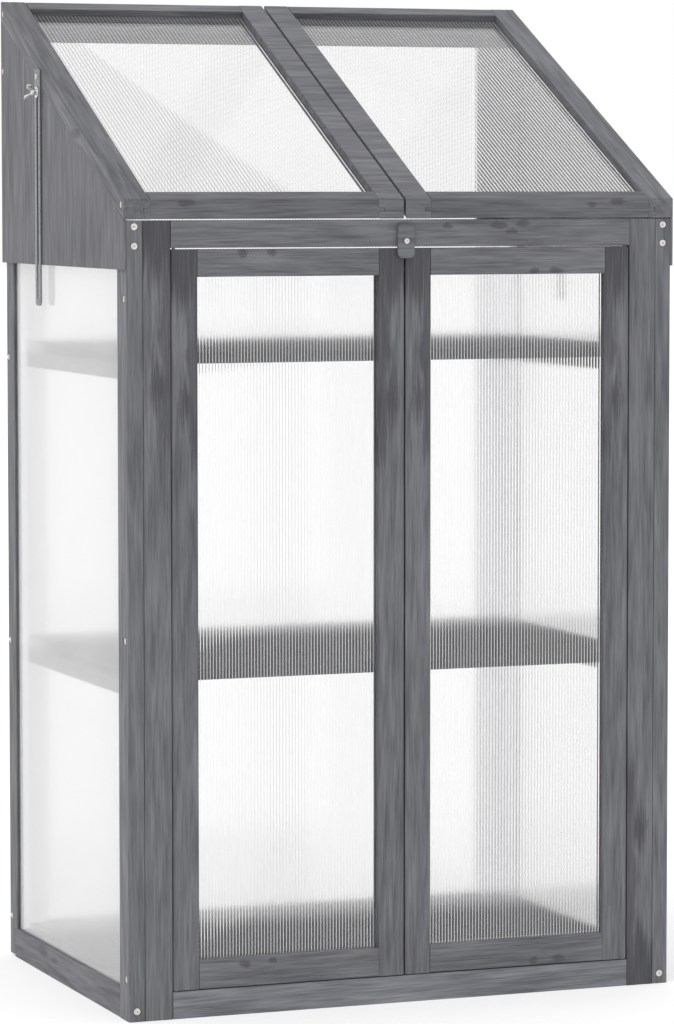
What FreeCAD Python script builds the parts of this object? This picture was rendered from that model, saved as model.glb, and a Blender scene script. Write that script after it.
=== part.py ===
import FreeCAD, Part
import os

import Sketcher
from FreeCAD import Placement, Rotation, Vector

# Wooden mini greenhouse: a cabinet of grey softwood battens with two doors, two sloping lids held
# by slotted stays, two shelves and a floor board. X runs to the right, Y to the back, Z up.
# All sizes are in millimetres, and all angles in degrees.

DRIVING_SIZES = {
    # whole cabinet
    "width": 700.0,
    "depth": 491.0,
    "front_tall": 937.0,
    "lid_pitch": 26.5,
    # battens
    "batten_thick": 20.0,
    "arris": 0.8,
    "groove_deep": 8.0,
    "pane_thick": 4.0,
    "pane_play": 0.2,
    "pane_edge_play": 0.6,
    "tongue_play": 0.2,
    # side frames
    "front_post_wide": 35.0,
    "back_post_wide": 40.0,
    "back_post_setback": 9.0,
    "back_post_foot": 3.0,
    "back_post_lap": 11.0,
    "side_bottom_rail_tall": 37.0,
    "side_top_rail_tall": 32.0,
    "side_pane_inset": 4.0,
    "gable_thick": 3.0,
    "gable_skirt": 57.0,
    "gable_lid_gap": 0.1,
    "gable_ease_long": 32.0,
    "gable_ease_drop": 0.8,
    # front frame
    "front_stile_wide": 33.7,
    "front_top_rail_tall": 32.0,
    "front_bottom_rail_tall": 32.4,
    "post_joint_gap": 0.3,
    "front_joint_gap": 0.5,
    # back frame
    "back_stile_wide": 32.0,
    "back_top_rail_tall": 18.0,
    "back_bottom_rail_tall": 37.0,
    "back_foot": 3.0,
    "back_pane_inset": 8.0,
    # doors
    "door_stile_wide": 32.0,
    "door_top_rail_tall": 32.0,
    "door_bottom_rail_tall": 34.0,
    "door_pane_inset": 10.5,
    "door_joint_gap": 0.15,
    "door_top_gap": 1.75,
    "door_bottom_gap": 1.2,
    "door_hinge_gap": 1.0,
    "door_meeting_gap": 2.0,
    "door_pin_inset": 4.0,
    "door_pin_wide": 4.0,
    "door_pin_reach": 12.0,
    "door_pin_play": 0.05,
    "door_pin_end_play": 0.3,
    "door_hinge_arris": 1.6,
    # lids
    "lid_thick": 21.1,
    "lid_gap": 1.2,
    "lid_under_arris": 0.15,
    "lid_meeting_gap": 3.0,
    "lid_stile_wide": 32.0,
    "lid_rail_wide": 19.0,
    "lid_joint_gap": 0.3,
    "lid_pane_inset": 9.5,
    # shelves
    "board_gap": 0.5,
    "board_front_gap": 10.0,
    "board_back_gap": 1.0,
    "shelf_thick": 13.0,
    "upper_shelf_top": 782.0,
    "lower_shelf_top": 409.0,
    "floor_board_top": 41.0,
    "cleat_wide": 16.0,
    "cleat_tall": 19.0,
    "cleat_end_gap": 0.5,
    # turn button
    "button_wide": 21.0,
    "button_tall": 41.0,
    "button_thick": 5.0,
    "button_round": 6.5,
    "button_drop": 25.2,
    "button_gap": 0.3,
    "button_shank_wide": 4.0,
    "button_shank_play": 0.05,
    "button_shank_reach": 14.0,
    "button_head_wide": 6.4,
    "button_head_thick": 1.4,
    # screws
    "screw_head_wide": 8.0,
    "screw_head_tall": 2.4,
    "screw_shank_wide": 3.6,
    "screw_sunk": 0.3,
    "screw_seat_wide": 9.6,
    "screw_seat_deep": 1.0,
    "small_seat_wide": 8.8,
    "post_front_screw_long": 50.0,
    "post_side_screw_long": 30.0,
    "gable_screw_long": 14.0,
    "lid_screw_long": 23.0,
    "post_top_screw_drop": 7.2,
    "post_top_screw_pitch": 22.4,
    "post_foot_screw_height": 12.2,
    "post_side_screw_inset": 12.0,
    "post_side_screw_drop": 91.0,
    "post_side_screw_low": 48.8,
    "back_screw_inset": 13.5,
    "back_screw_drop": 176.0,
    "back_screw_middle_drop": 534.0,
    "back_screw_low": 50.6,
    "gable_screw_inset": 5.0,
    "gable_screw_drop": 62.3,
    "lid_screw_front": 8.4,
    "lid_screw_back": 11.5,
    "lid_screw_down": 11.5,
    # lid hinges
    "hinge_inset": 75.0,
    "hinge_long": 60.0,
    "hinge_leaf_tall": 18.0,
    "hinge_leaf_thick": 1.5,
    "hinge_knuckle_wide": 6.0,
    "hinge_pin_wide": 3.0,
    "hinge_pin_play": 0.05,
    "hinge_face_gap": 0.3,
    "hinge_knuckle_gap": 0.4,
    "hinge_leaf_gap": 0.5,
    # stays
    "stay_from_back": 160.0,
    "stay_pin_down": 15.2,
    "stay_bolt_drop": 19.0,
    "stay_wide": 21.0,
    "stay_thick": 2.0,
    "stay_side_gap": 0.3,
    "stay_above_pivot": 9.0,
    "stay_below_pivot": 280.0,
    "stay_round": 6.0,
    "slot_wide": 7.0,
    "slot_above_bolt": 8.0,
    "slot_end_wall": 8.0,
    "stay_pin_wide": 4.0,
    "stay_pin_play": 0.05,
    "stay_pin_reach": 14.0,
    "stay_pin_head_wide": 7.0,
    "stay_pin_head_thick": 1.5,
    "stay_pin_head_gap": 0.1,
    "bolt_wide": 5.0,
    "bolt_head_wide": 11.0,
    "bolt_head_thick": 2.5,
    "sleeve_play": 0.25,
    "washer_gap": 0.1,
    "washer_wide": 14.0,
    "washer_thick": 1.2,
    "nut_gap": 0.1,
    "nut_hub_wide": 8.5,
    "nut_hub_thick": 5.0,
    "nut_bore_play": 0.05,
    "stud_past_nut": 1.0,
    "wing_thick": 1.8,
    "wing_reach": 11.0,
    "wing_out": 13.0,
    "wing_tip_wide": 5.0,
    "wing_round": 2.0,
    "nut_turn": 40.0,
}

# Places worked out from the driving sizes. Y starts at the front face of the frame.
WORKED_OUT = {
    "half_width": "width / 2",
    "post_outer": "half_width - gable_thick",
    "post_inner": "post_outer - batten_thick",
    "rise": "tan(lid_pitch * 1deg)",
    "fall": "cos(lid_pitch * 1deg)",
    "lean": "sin(lid_pitch * 1deg)",
    "fascia_tall": "lid_thick / fall",
    "lid_under": "front_tall + lid_gap",
    "lid_top": "lid_under + fascia_tall",
    "lid_long": "depth / fall",
    "plumb": "lid_thick * rise",
    "back_post_front": "depth - back_post_wide",
    "back_face": "depth - batten_thick",
    "bevel": "batten_thick * rise",
    "back_frame_top": "front_tall + depth * rise",
    "gable_low": "front_tall - gable_skirt",
    "button_height": "front_tall - button_drop",
    "groove_wide": "pane_thick + 2 * pane_play",
    "pane_bite": "groove_deep - pane_edge_play",
    "front_opening": "post_inner - post_joint_gap - front_stile_wide",
    "front_rail_long": "2 * (front_opening - front_joint_gap)",
    "front_rail_low": "front_tall - front_top_rail_tall",
    "door_outer": "front_opening - door_hinge_gap",
    "door_low": "front_bottom_rail_tall + door_bottom_gap",
    "door_high": "front_rail_low - door_top_gap",
    "door_tall": "door_high - door_low",
    "door_wide": "door_outer - door_meeting_gap / 2",
    "door_glass_wide": "door_wide - 2 * door_stile_wide",
    "door_rail_long": "door_glass_wide - 2 * door_joint_gap",
    "door_glass_tall": "door_tall - door_top_rail_tall - door_bottom_rail_tall",
    "pin_x": "door_outer - door_pin_inset",
    "lid_wide": "half_width - lid_meeting_gap / 2",
    "lid_glass_wide": "lid_wide - 2 * lid_stile_wide",
    "lid_rail_long": "lid_glass_wide - 2 * lid_joint_gap",
    "lid_glass_long": "lid_long - 2 * lid_rail_wide",
    "side_glass_deep": "back_post_front - front_post_wide",
    "side_glass_tall": "front_tall - side_top_rail_tall - side_bottom_rail_tall",
    "back_inner": "post_inner - back_stile_wide",
    "back_glass_low": "back_foot + back_bottom_rail_tall",
    "back_glass_high": "back_frame_top - bevel - back_top_rail_tall",
    "back_glass_tall": "back_glass_high - back_glass_low",
    "board_front": "batten_thick + board_front_gap",
    "board_deep": "back_face - board_back_gap - board_front",
    "cleat_front": "batten_thick + cleat_end_gap",
    "cleat_deep": "back_face - cleat_end_gap - cleat_front",
    "knuckle_radius": "hinge_knuckle_wide / 2",
    "hinge_y": "depth + hinge_face_gap + knuckle_radius",
    "hinge_z": "back_frame_top + lid_gap / 2",
    "leaf_start": "knuckle_radius + hinge_leaf_gap",
    "board_half": "post_inner - board_gap",
    "stay_back": "depth - stay_from_back",
    "stay_inner": "half_width + stay_side_gap",
    "stay_outer": "stay_inner + stay_thick",
    "stay_pivot_height": "lid_top + stay_back * rise - stay_pin_down / fall",
    "stay_bolt_height": "stay_pivot_height - stay_bolt_drop",
    "stay_pin_along": "stay_back * fall + (stay_pivot_height - lid_top) * lean",
    "slot_high": "slot_above_bolt - stay_bolt_drop",
    "slot_low": "slot_end_wall - stay_below_pivot",
    "washer_inner": "stay_outer + washer_gap",
    "nut_inner": "washer_inner + washer_thick + nut_gap",
    "button_front": "2 * button_gap + button_thick + button_head_thick",
    "back_reach": "hinge_y + knuckle_radius",
    "origin_y": "(back_reach - button_front) / 2",
}

doc = FreeCAD.newDocument("MiniGreenhouse")


def fill_sheet(name, cells, mark):
    """A sheet with one named cell on each row."""
    sheet = doc.addObject("Spreadsheet::Sheet", name)
    for row, (alias, content) in enumerate(cells.items(), start=1):
        sheet.set(f"A{row}", alias)
        sheet.set(f"B{row}", f"{mark}{content}")
        sheet.setAlias(f"B{row}", alias)
    return sheet


def with_sheets(formula):
    """The formula with each name led by the sheet that holds it."""
    words = []
    word = ""
    for letter in formula + " ":
        if letter.isalnum() or letter == "_":
            word += letter
            continue
        if word in DRIVING_SIZES:
            word = f"Sizes.{word}"
        elif word in WORKED_OUT:
            word = f"Places.{word}"
        words.append(word + letter)
        word = ""
    return "".join(words).strip()


sizes = fill_sheet("Sizes", DRIVING_SIZES, "")
doc.recompute()
places = fill_sheet("Places", {name: with_sheets(formula).replace("Places.", "")
                               for name, formula in WORKED_OUT.items()}, "=")
doc.recompute()


def value(formula):
    """What a formula comes to with the sizes as they stand."""
    return float(sizes.evalExpression(with_sheets(formula)))


def bind(thing, name, formula):
    thing.setExpression(name, with_sheets(formula))


# Turns of a piece from its own frame (X across its face, Y through it, Z along it).
UPRIGHT = "rotation(vector(0; 0; 1); 0)"
UPRIGHT_IN_SIDE = "rotation(vector(0; 0; 1); 90)"
LEVEL = "rotation(vector(0; 1; 0); 90)"
LEVEL_IN_SIDE = "rotation(vector(-1; 1; 1); 120)"
UP_THE_SLOPE = "rotation(vector(1; 0; 0); -90)"
ACROSS_THE_SLOPE = "rotation(vector(-1; 1; -1); 120)"
BOARD = "rotation(vector(1; 1; 1); 120)"


def place(piece, x, y, z, turn=UPRIGHT, pitch="0"):
    """Puts a piece's own origin at X, Y behind the front face, and Z above the floor."""
    spot = f"vector({x}; {y} - origin_y; {z})"
    way = f"rotation(vector(1; 0; 0); {pitch}) * {turn}"
    bind(piece, "Placement", f"placement({spot}; {way})")


def new_body(label):
    body = doc.addObject("PartDesign::Body", label)
    body.Label = label
    return body


def outline(body, plane, points, name="Outline"):
    """Closed outline whose every corner is held by its distances from the body's origin."""
    sketch = body.newObject("Sketcher::SketchObject", name)
    support = [item for item in body.Origin.OriginFeatures if item.Role == plane][0]
    sketch.AttachmentSupport = (support, [""])
    sketch.MapMode = "FlatFace"
    spots = [Vector(value(across), value(up), 0) for across, up in points]
    count = len(spots)
    lines = [Part.LineSegment(spots[i], spots[(i + 1) % count]) for i in range(count)]
    sketch.addGeometry(lines, False)
    for i in range(count):
        sketch.addConstraint(Sketcher.Constraint("Coincident", i, 2, (i + 1) % count, 1))
    for i, (across, up) in enumerate(points):
        for kind, formula in (("DistanceX", across), ("DistanceY", up)):
            index = sketch.addConstraint(Sketcher.Constraint(kind, -1, 1, i, 1, value(formula)))
            bind(sketch, f"Constraints[{index}]", formula)
    return sketch


def pad(body, sketch, length, start="0"):
    """Raises an outline by a length, from a start above its plane."""
    feature = body.newObject("PartDesign::Pad", "Raised")
    feature.Profile = sketch
    bind(feature, "Length", length)
    if start != "0":
        bind(sketch, "AttachmentOffset.Base.z", start)
    return feature


def trim(body, plane, points):
    """Cuts everything inside an outline away, right through the piece."""
    before = body.Shape.Volume
    feature = body.newObject("PartDesign::Pocket", "Trimmed")
    feature.Profile = outline(body, plane, points, "TrimLine")
    feature.Type = "ThroughAll"
    feature.SideType = "Symmetric"
    doc.recompute()
    if body.Shape.Volume >= before:
        raise ValueError(f"{body.Label}: a trim cuts nothing")
    return feature


def batten_outline(wide, thick, grooves, groove_face, near_lean, far_lean, near_arris, far_arris,
                   back_arris):
    """Section of a batten with eased arrises, pane grooves and leaning edges.

    The near edge is at X = 0, the far edge at X = wide and the face at Y = 0. A lean is how far
    that edge has moved in X at the piece's other face.
    """
    groove_back = f"{groove_face} + groove_wide"
    points = [(near_arris, "0"), (f"{wide} - {far_arris}", "0")]
    points += [(f"{wide} + ({far_lean}) * {far_arris} / ({thick})", far_arris)]
    if "far" in grooves:
        points += [(wide, groove_face), (f"{wide} - groove_deep", groove_face)]
        points += [(f"{wide} - groove_deep", groove_back), (wide, groove_back)]
    before_back = f"{thick} - {back_arris}"
    points += [(f"{wide} + ({far_lean}) * (1 - {back_arris} / ({thick}))", before_back)]
    points += [(f"{wide} + ({far_lean}) - {back_arris}", thick)]
    points += [(f"{back_arris} + ({near_lean})", thick)]
    points += [(f"({near_lean}) * (1 - {back_arris} / ({thick}))", before_back)]
    if "near" in grooves:
        points += [("0", groove_back), ("groove_deep", groove_back)]
        points += [("groove_deep", groove_face), ("0", groove_face)]
    points += [(f"({near_lean}) * {near_arris} / ({thick})", near_arris)]
    return points


def batten(label, wide, length, thick="batten_thick", grooves="", pane_inset="0", tongues="",
           tongue_span=("0", "0"), near_lean="0", far_lean="0", near_arris="arris",
           far_arris="arris", back_arris="arris", start="0"):
    """A straight batten along Z. Tongues at its ends fill the grooves of its neighbours.

    A tongue that reaches an edge of the batten leans with that edge.
    """
    body = new_body(label)
    groove_face = f"({pane_inset} - pane_play)"
    section = batten_outline(wide, thick, grooves, groove_face, near_lean, far_lean,
                             near_arris, far_arris, back_arris)
    pad(body, outline(body, "XY_Plane", section), length, start)
    if tongues:
        low = f"{groove_face} + tongue_play"
        high = f"{groove_face} + groove_wide - tongue_play"
        left, right = tongue_span
        section = []
        for end, lean, depth in ((left, near_lean, low), (right, far_lean, low),
                                 (right, far_lean, high), (left, near_lean, high)):
            section.append((f"{end} + ({lean}) * ({depth}) / ({thick})", depth))
        reach = "(groove_deep - tongue_play)"
        before = reach if "start" in tongues else "0"
        after = reach if "end" in tongues else "0"
        sketch = outline(body, "XY_Plane", section, "TongueOutline")
        pad(body, sketch, f"{length} + {before} + {after}", f"0 - {before}")
    doc.recompute()
    return body


def plain_box(label, along_x, along_y, along_z):
    box = doc.addObject("Part::Box", label)
    box.Label = label
    bind(box, "Length", along_x)
    bind(box, "Width", along_y)
    bind(box, "Height", along_z)
    return box


def round_bar(label, wide, length, tilt=Rotation()):
    bar = doc.addObject("Part::Cylinder", label)
    bar.Label = label
    bind(bar, "Radius", f"({wide}) / 2")
    bind(bar, "Height", length)
    bar.Placement = Placement(Vector(0, 0, 0), tilt)
    return bar


def move_to(feature, x, y, z):
    """Moves a feature, or a piece that keeps its tilt, to a spot in its own frame."""
    for letter, formula in zip("xyz", (x, y, z)):
        bind(feature, f"Placement.Base.{letter}", formula)


# Ways in which a drilled hole or a screw can point.
AIM = {
    "+x": Rotation(Vector(0, 0, 1), Vector(1, 0, 0)),
    "-x": Rotation(Vector(0, 0, 1), Vector(-1, 0, 0)),
    "+y": Rotation(Vector(0, 0, 1), Vector(0, 1, 0)),
    "-y": Rotation(Vector(0, 0, 1), Vector(0, -1, 0)),
    "+z": Rotation(),
}
# How far apart the tips of two unit directions may be when they count as the same way.
SAME_WAY = 0.001
nodes = []
screw_seats = []


def cylinder_in(body, kind, wide, length, spot, aim="+z"):
    """A cylinder that is added to a body, or drilled out of it, from a spot and along an aim."""
    feature = body.newObject(f"PartDesign::{kind}Cylinder", "Turned")
    bind(feature, "Radius", f"({wide}) / 2")
    bind(feature, "Height", length)
    feature.Placement = Placement(Vector(0, 0, 0), AIM[aim])
    move_to(feature, *spot)
    doc.recompute()
    return feature


def box_in(body, size, spot):
    """A plain block that is added to a body."""
    feature = body.newObject("PartDesign::AdditiveBox", "Block")
    for name, formula in zip(("Length", "Width", "Height"), size):
        bind(feature, name, formula)
    move_to(feature, *spot)
    doc.recompute()
    return feature


def drill(body, wide, deep, spot, aim="+z"):
    before = body.Shape.Volume
    hole = cylinder_in(body, "Subtractive", wide, deep, spot, aim)
    if body.Shape.Volume >= before:
        raise ValueError(f"{body.Label}: a hole cuts nothing")
    return hole


def screw_seat(body, spot, aim, group, length, wide="screw_seat_wide"):
    """A shallow round seat that a screw's head lies in. The screw follows its seat."""
    seat = drill(body, wide, "screw_seat_deep", spot, aim)
    screw_seats.append((body, seat, group, length))


def round_corners(body, radius, direction):
    """Rounds every outer corner that runs through the thickness, along a direction."""
    tip = body.Tip
    names = []
    for index, edge in enumerate(tip.Shape.Edges, start=1):
        start, end = (vertex.Point for vertex in edge.Vertexes)
        if (end - start).normalize().isEqual(direction, SAME_WAY) or (
                start - end).normalize().isEqual(direction, SAME_WAY):
            names.append(f"Edge{index}")
    feature = body.newObject("PartDesign::Fillet", "Rounded")
    feature.Base = (tip, names)
    bind(feature, "Radius", radius)
    doc.recompute()


def group_of(label, members):
    """Like pieces that share one node and stay separate solids."""
    group = doc.addObject("Part::Compound", label)
    group.Label = label
    group.Links = members
    nodes.append(group)
    return group


# Side frames. A side batten's own X runs to the back and its own Y runs to the left, so its outer
# face is at Y = 0 on the right side of the cabinet and at Y = batten_thick on the left side.
FRAME_SCREWS = "frame_fasteners"


def side_frame(side):
    right = side == "right"
    start_x = "post_outer" if right else "0 - post_inner"
    pane_inset = "side_pane_inset" if right else "(batten_thick - side_pane_inset - pane_thick)"
    outer = "0" if right else "batten_thick"
    inward = "+y" if right else "-y"

    front_post = batten(f"{side}_front_post", "front_post_wide", "front_tall",
                        grooves="far", pane_inset=pane_inset)
    for height in ("front_tall - post_top_screw_drop",
                   "front_tall - post_top_screw_drop - post_top_screw_pitch",
                   "post_foot_screw_height"):
        screw_seat(front_post, ("0", "batten_thick / 2", height), "+x", FRAME_SCREWS,
                   "post_front_screw_long")
    for height in ("front_tall - post_side_screw_drop",
                   "(front_tall - post_side_screw_drop + post_side_screw_low) / 2",
                   "post_side_screw_low"):
        screw_seat(front_post, ("post_side_screw_inset", outer, height), inward, FRAME_SCREWS,
                   "post_side_screw_long")
    place(front_post, start_x, "0", "0", UPRIGHT_IN_SIDE)

    # The back post is notched over the bottom rail, set back below the gable panel and
    # bevelled under the lid.
    long = "(back_frame_top - back_post_foot)"
    back_post = batten(f"{side}_back_post", "back_post_wide", long,
                       grooves="near", pane_inset=pane_inset)
    trim(back_post, "XZ_Plane", [("0", f"{long} - back_post_wide * rise"),
                                 ("back_post_wide", long), ("0", long)])
    set_back = "(back_post_wide - back_post_setback)"
    trim(back_post, "XZ_Plane", [(set_back, "0"), ("back_post_wide", "0"),
                                 ("back_post_wide", "gable_low - back_post_foot"),
                                 (set_back, "gable_low - back_post_foot")])
    lap_top = "side_bottom_rail_tall - back_post_foot"
    trim(back_post, "XZ_Plane", [("0", "0"), ("back_post_lap", "0"),
                                 ("back_post_lap", lap_top), ("0", lap_top)])
    for height in ("front_tall - back_screw_drop", "front_tall - back_screw_middle_drop",
                   "back_screw_low"):
        spot = ("back_post_wide - back_screw_inset", outer, f"{height} - back_post_foot")
        screw_seat(back_post, spot, inward, FRAME_SCREWS, "post_side_screw_long")
    place(back_post, start_x, "back_post_front", "back_post_foot", UPRIGHT_IN_SIDE)

    bottom_rail = batten(f"{side}_bottom_rail", "side_bottom_rail_tall",
                         "side_glass_deep + back_post_lap", grooves="near",
                         pane_inset=pane_inset, tongues="start",
                         tongue_span=("groove_deep", "side_bottom_rail_tall"))
    place(bottom_rail, start_x, "front_post_wide", "side_bottom_rail_tall", LEVEL_IN_SIDE)
    top_rail = batten(f"{side}_top_rail", "side_top_rail_tall", "side_glass_deep",
                      grooves="far", pane_inset=pane_inset, tongues="start end",
                      tongue_span=("0", "side_top_rail_tall - groove_deep"))
    place(top_rail, start_x, "front_post_wide", "front_tall", LEVEL_IN_SIDE)

    pane = plain_box(f"{side}_side_pane", "pane_thick", "side_glass_deep + 2 * pane_bite",
                     "side_glass_tall + 2 * pane_bite")
    pane_x = ("post_outer - side_pane_inset - pane_thick" if right
              else "side_pane_inset - post_outer")
    place(pane, pane_x, "front_post_wide - pane_bite", "side_bottom_rail_tall - pane_bite")

    gable = new_body(f"{side}_gable_panel")
    under_lid = "lid_under - gable_lid_gap"
    pad(gable, outline(gable, "YZ_Plane", [
        ("0", "gable_low"), ("depth", "gable_low"), ("depth", f"{under_lid} + depth * rise"),
        ("gable_ease_long", f"{under_lid} + gable_ease_long * rise"),
        ("0", f"{under_lid} - gable_ease_drop")]), "gable_thick")
    face, into = ("gable_thick", "-x") if right else ("0", "+x")
    doc.recompute()
    screw_seat(gable, (face, "depth - gable_screw_inset", "back_frame_top - gable_screw_drop"), into,
               FRAME_SCREWS, "gable_screw_long", "small_seat_wide")
    drill(gable, "bolt_wide", "gable_thick", ("0", "stay_back", "stay_bolt_height"), "+x")
    place(gable, "post_outer" if right else "0 - half_width", "0", "0")
    nodes.extend([front_post, back_post, bottom_rail, top_rail, pane, gable])


for side in ("left", "right"):
    side_frame(side)


# Front frame. The rails carry the door pins and the turn button's screw.
def front_frame():
    left_stile = batten("front_left_stile", "front_stile_wide", "front_tall")
    place(left_stile, "0 - front_opening - front_stile_wide", "0", "0")
    right_stile = batten("front_right_stile", "front_stile_wide", "front_tall")
    place(right_stile, "front_opening", "0", "0")

    top_rail = batten("front_top_rail", "front_top_rail_tall", "front_rail_long")
    bottom_rail = batten("front_bottom_rail", "front_bottom_rail_tall", "front_rail_long")
    for along in ("front_rail_long / 2 - pin_x", "front_rail_long / 2 + pin_x"):
        drill(top_rail, "door_pin_wide", "door_pin_reach",
              ("front_top_rail_tall - door_pin_reach", "door_pin_inset", along), "+x")
        drill(bottom_rail, "door_pin_wide", "door_pin_reach",
              ("0", "door_pin_inset", along), "+x")
    drill(top_rail, "button_shank_wide", "button_shank_reach",
          ("button_drop", "0", "front_rail_long / 2"), "+y")
    place(top_rail, "0 - front_rail_long / 2", "0", "front_tall", LEVEL)
    place(bottom_rail, "0 - front_rail_long / 2", "0", "front_bottom_rail_tall", LEVEL)
    nodes.extend([left_stile, right_stile, top_rail, bottom_rail])


front_frame()


# Back frame, between the back posts. Its top is bevelled under the lids.
def back_frame():
    long = "(back_frame_top - back_foot)"
    for side, x, groove in (("left", "0 - post_inner", "far"), ("right", "back_inner", "near")):
        stile = batten(f"back_{side}_stile", "back_stile_wide", long,
                       grooves=groove, pane_inset="back_pane_inset")
        trim(stile, "YZ_Plane", [("0", f"{long} - bevel"), ("batten_thick", long), ("0", long)])
        place(stile, x, "back_face", "back_foot")
        nodes.append(stile)

    top_rail = batten("back_top_rail", "back_top_rail_tall", "2 * back_inner",
                      grooves="far", pane_inset="back_pane_inset", tongues="start end",
                      tongue_span=("0", "back_top_rail_tall - groove_deep"),
                      near_lean="0 - bevel")
    place(top_rail, "0 - back_inner", "back_face", "back_frame_top - bevel", LEVEL)
    bottom_rail = batten("back_bottom_rail", "back_bottom_rail_tall", "2 * back_inner",
                         grooves="near", pane_inset="back_pane_inset", tongues="start end",
                         tongue_span=("groove_deep", "back_bottom_rail_tall"))
    place(bottom_rail, "0 - back_inner", "back_face", "back_glass_low", LEVEL)

    pane = plain_box("back_pane", "2 * (back_inner + pane_bite)", "pane_thick",
                     "back_glass_tall + 2 * pane_bite")
    place(pane, "0 - back_inner - pane_bite", "back_face + back_pane_inset",
          "back_glass_low - pane_bite")
    nodes.extend([top_rail, bottom_rail, pane])


back_frame()


# Doors. Each turns on two pins that stand in the rails, near its outer front edge. Both are made
# alike, and the right one is hung back to front, so that its pane lies nearer the front.
def door(side):
    left_x = "0 - door_outer" if side == "left" else "door_meeting_gap / 2"
    stile_x = {"near": left_x, "far": f"{left_x} + door_wide - door_stile_wide"}
    hinge_end = "near" if side == "left" else "far"
    meeting_end = "far" if side == "left" else "near"
    other = {"near": "far", "far": "near"}
    pane_inset = ("door_pane_inset" if side == "left"
                  else "(batten_thick - door_pane_inset - pane_thick)")

    hinge_stile = batten(f"{side}_door_hinge_stile", "door_stile_wide", "door_tall",
                         grooves=other[hinge_end], pane_inset=pane_inset,
                         **{f"{hinge_end}_arris": "door_hinge_arris"})
    pin_x = "door_pin_inset" if side == "left" else "door_stile_wide - door_pin_inset"
    for height in ("0", "door_tall - door_pin_reach"):
        drill(hinge_stile, "door_pin_wide + 2 * door_pin_play", "door_pin_reach",
              (pin_x, "door_pin_inset", height))
    place(hinge_stile, stile_x[hinge_end], "0", "door_low")
    meeting_stile = batten(f"{side}_door_meeting_stile", "door_stile_wide", "door_tall",
                           grooves=other[meeting_end], pane_inset=pane_inset)
    place(meeting_stile, stile_x[meeting_end], "0", "door_low")

    rail_x = f"{left_x} + door_stile_wide + door_joint_gap"
    top_rail = batten(f"{side}_door_top_rail", "door_top_rail_tall", "door_rail_long",
                      grooves="far", pane_inset=pane_inset, tongues="start end",
                      tongue_span=("0", "door_top_rail_tall - groove_deep"))
    place(top_rail, rail_x, "0", "door_high", LEVEL)
    bottom_rail = batten(f"{side}_door_bottom_rail", "door_bottom_rail_tall", "door_rail_long",
                         grooves="near", pane_inset=pane_inset, tongues="start end",
                         tongue_span=("groove_deep", "door_bottom_rail_tall"))
    place(bottom_rail, rail_x, "0", "door_low + door_bottom_rail_tall", LEVEL)
    pane = plain_box(f"{side}_door_pane", "door_glass_wide + 2 * pane_bite", "pane_thick",
                     "door_glass_tall + 2 * pane_bite")
    place(pane, f"{left_x} + door_stile_wide - pane_bite", pane_inset,
          "door_low + door_bottom_rail_tall - pane_bite")
    nodes.extend([hinge_stile, meeting_stile, top_rail, bottom_rail, pane])


for side in ("left", "right"):
    door(side)


def door_pins():
    pins = []
    for side, x in (("left", "0 - pin_x"), ("right", "pin_x")):
        top = round_bar(f"{side}_top_pin", "door_pin_wide",
                        "2 * door_pin_reach + door_top_gap - door_pin_end_play")
        place(top, x, "door_pin_inset", "door_high - door_pin_reach + door_pin_end_play")
        bottom = round_bar(f"{side}_bottom_pin", "door_pin_wide",
                           "2 * door_pin_reach + door_bottom_gap - door_pin_end_play")
        place(bottom, x, "door_pin_inset", "front_bottom_rail_tall - door_pin_reach")
        pins += [top, bottom]
    group_of("door_pivot_pins", pins)


door_pins()


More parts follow.
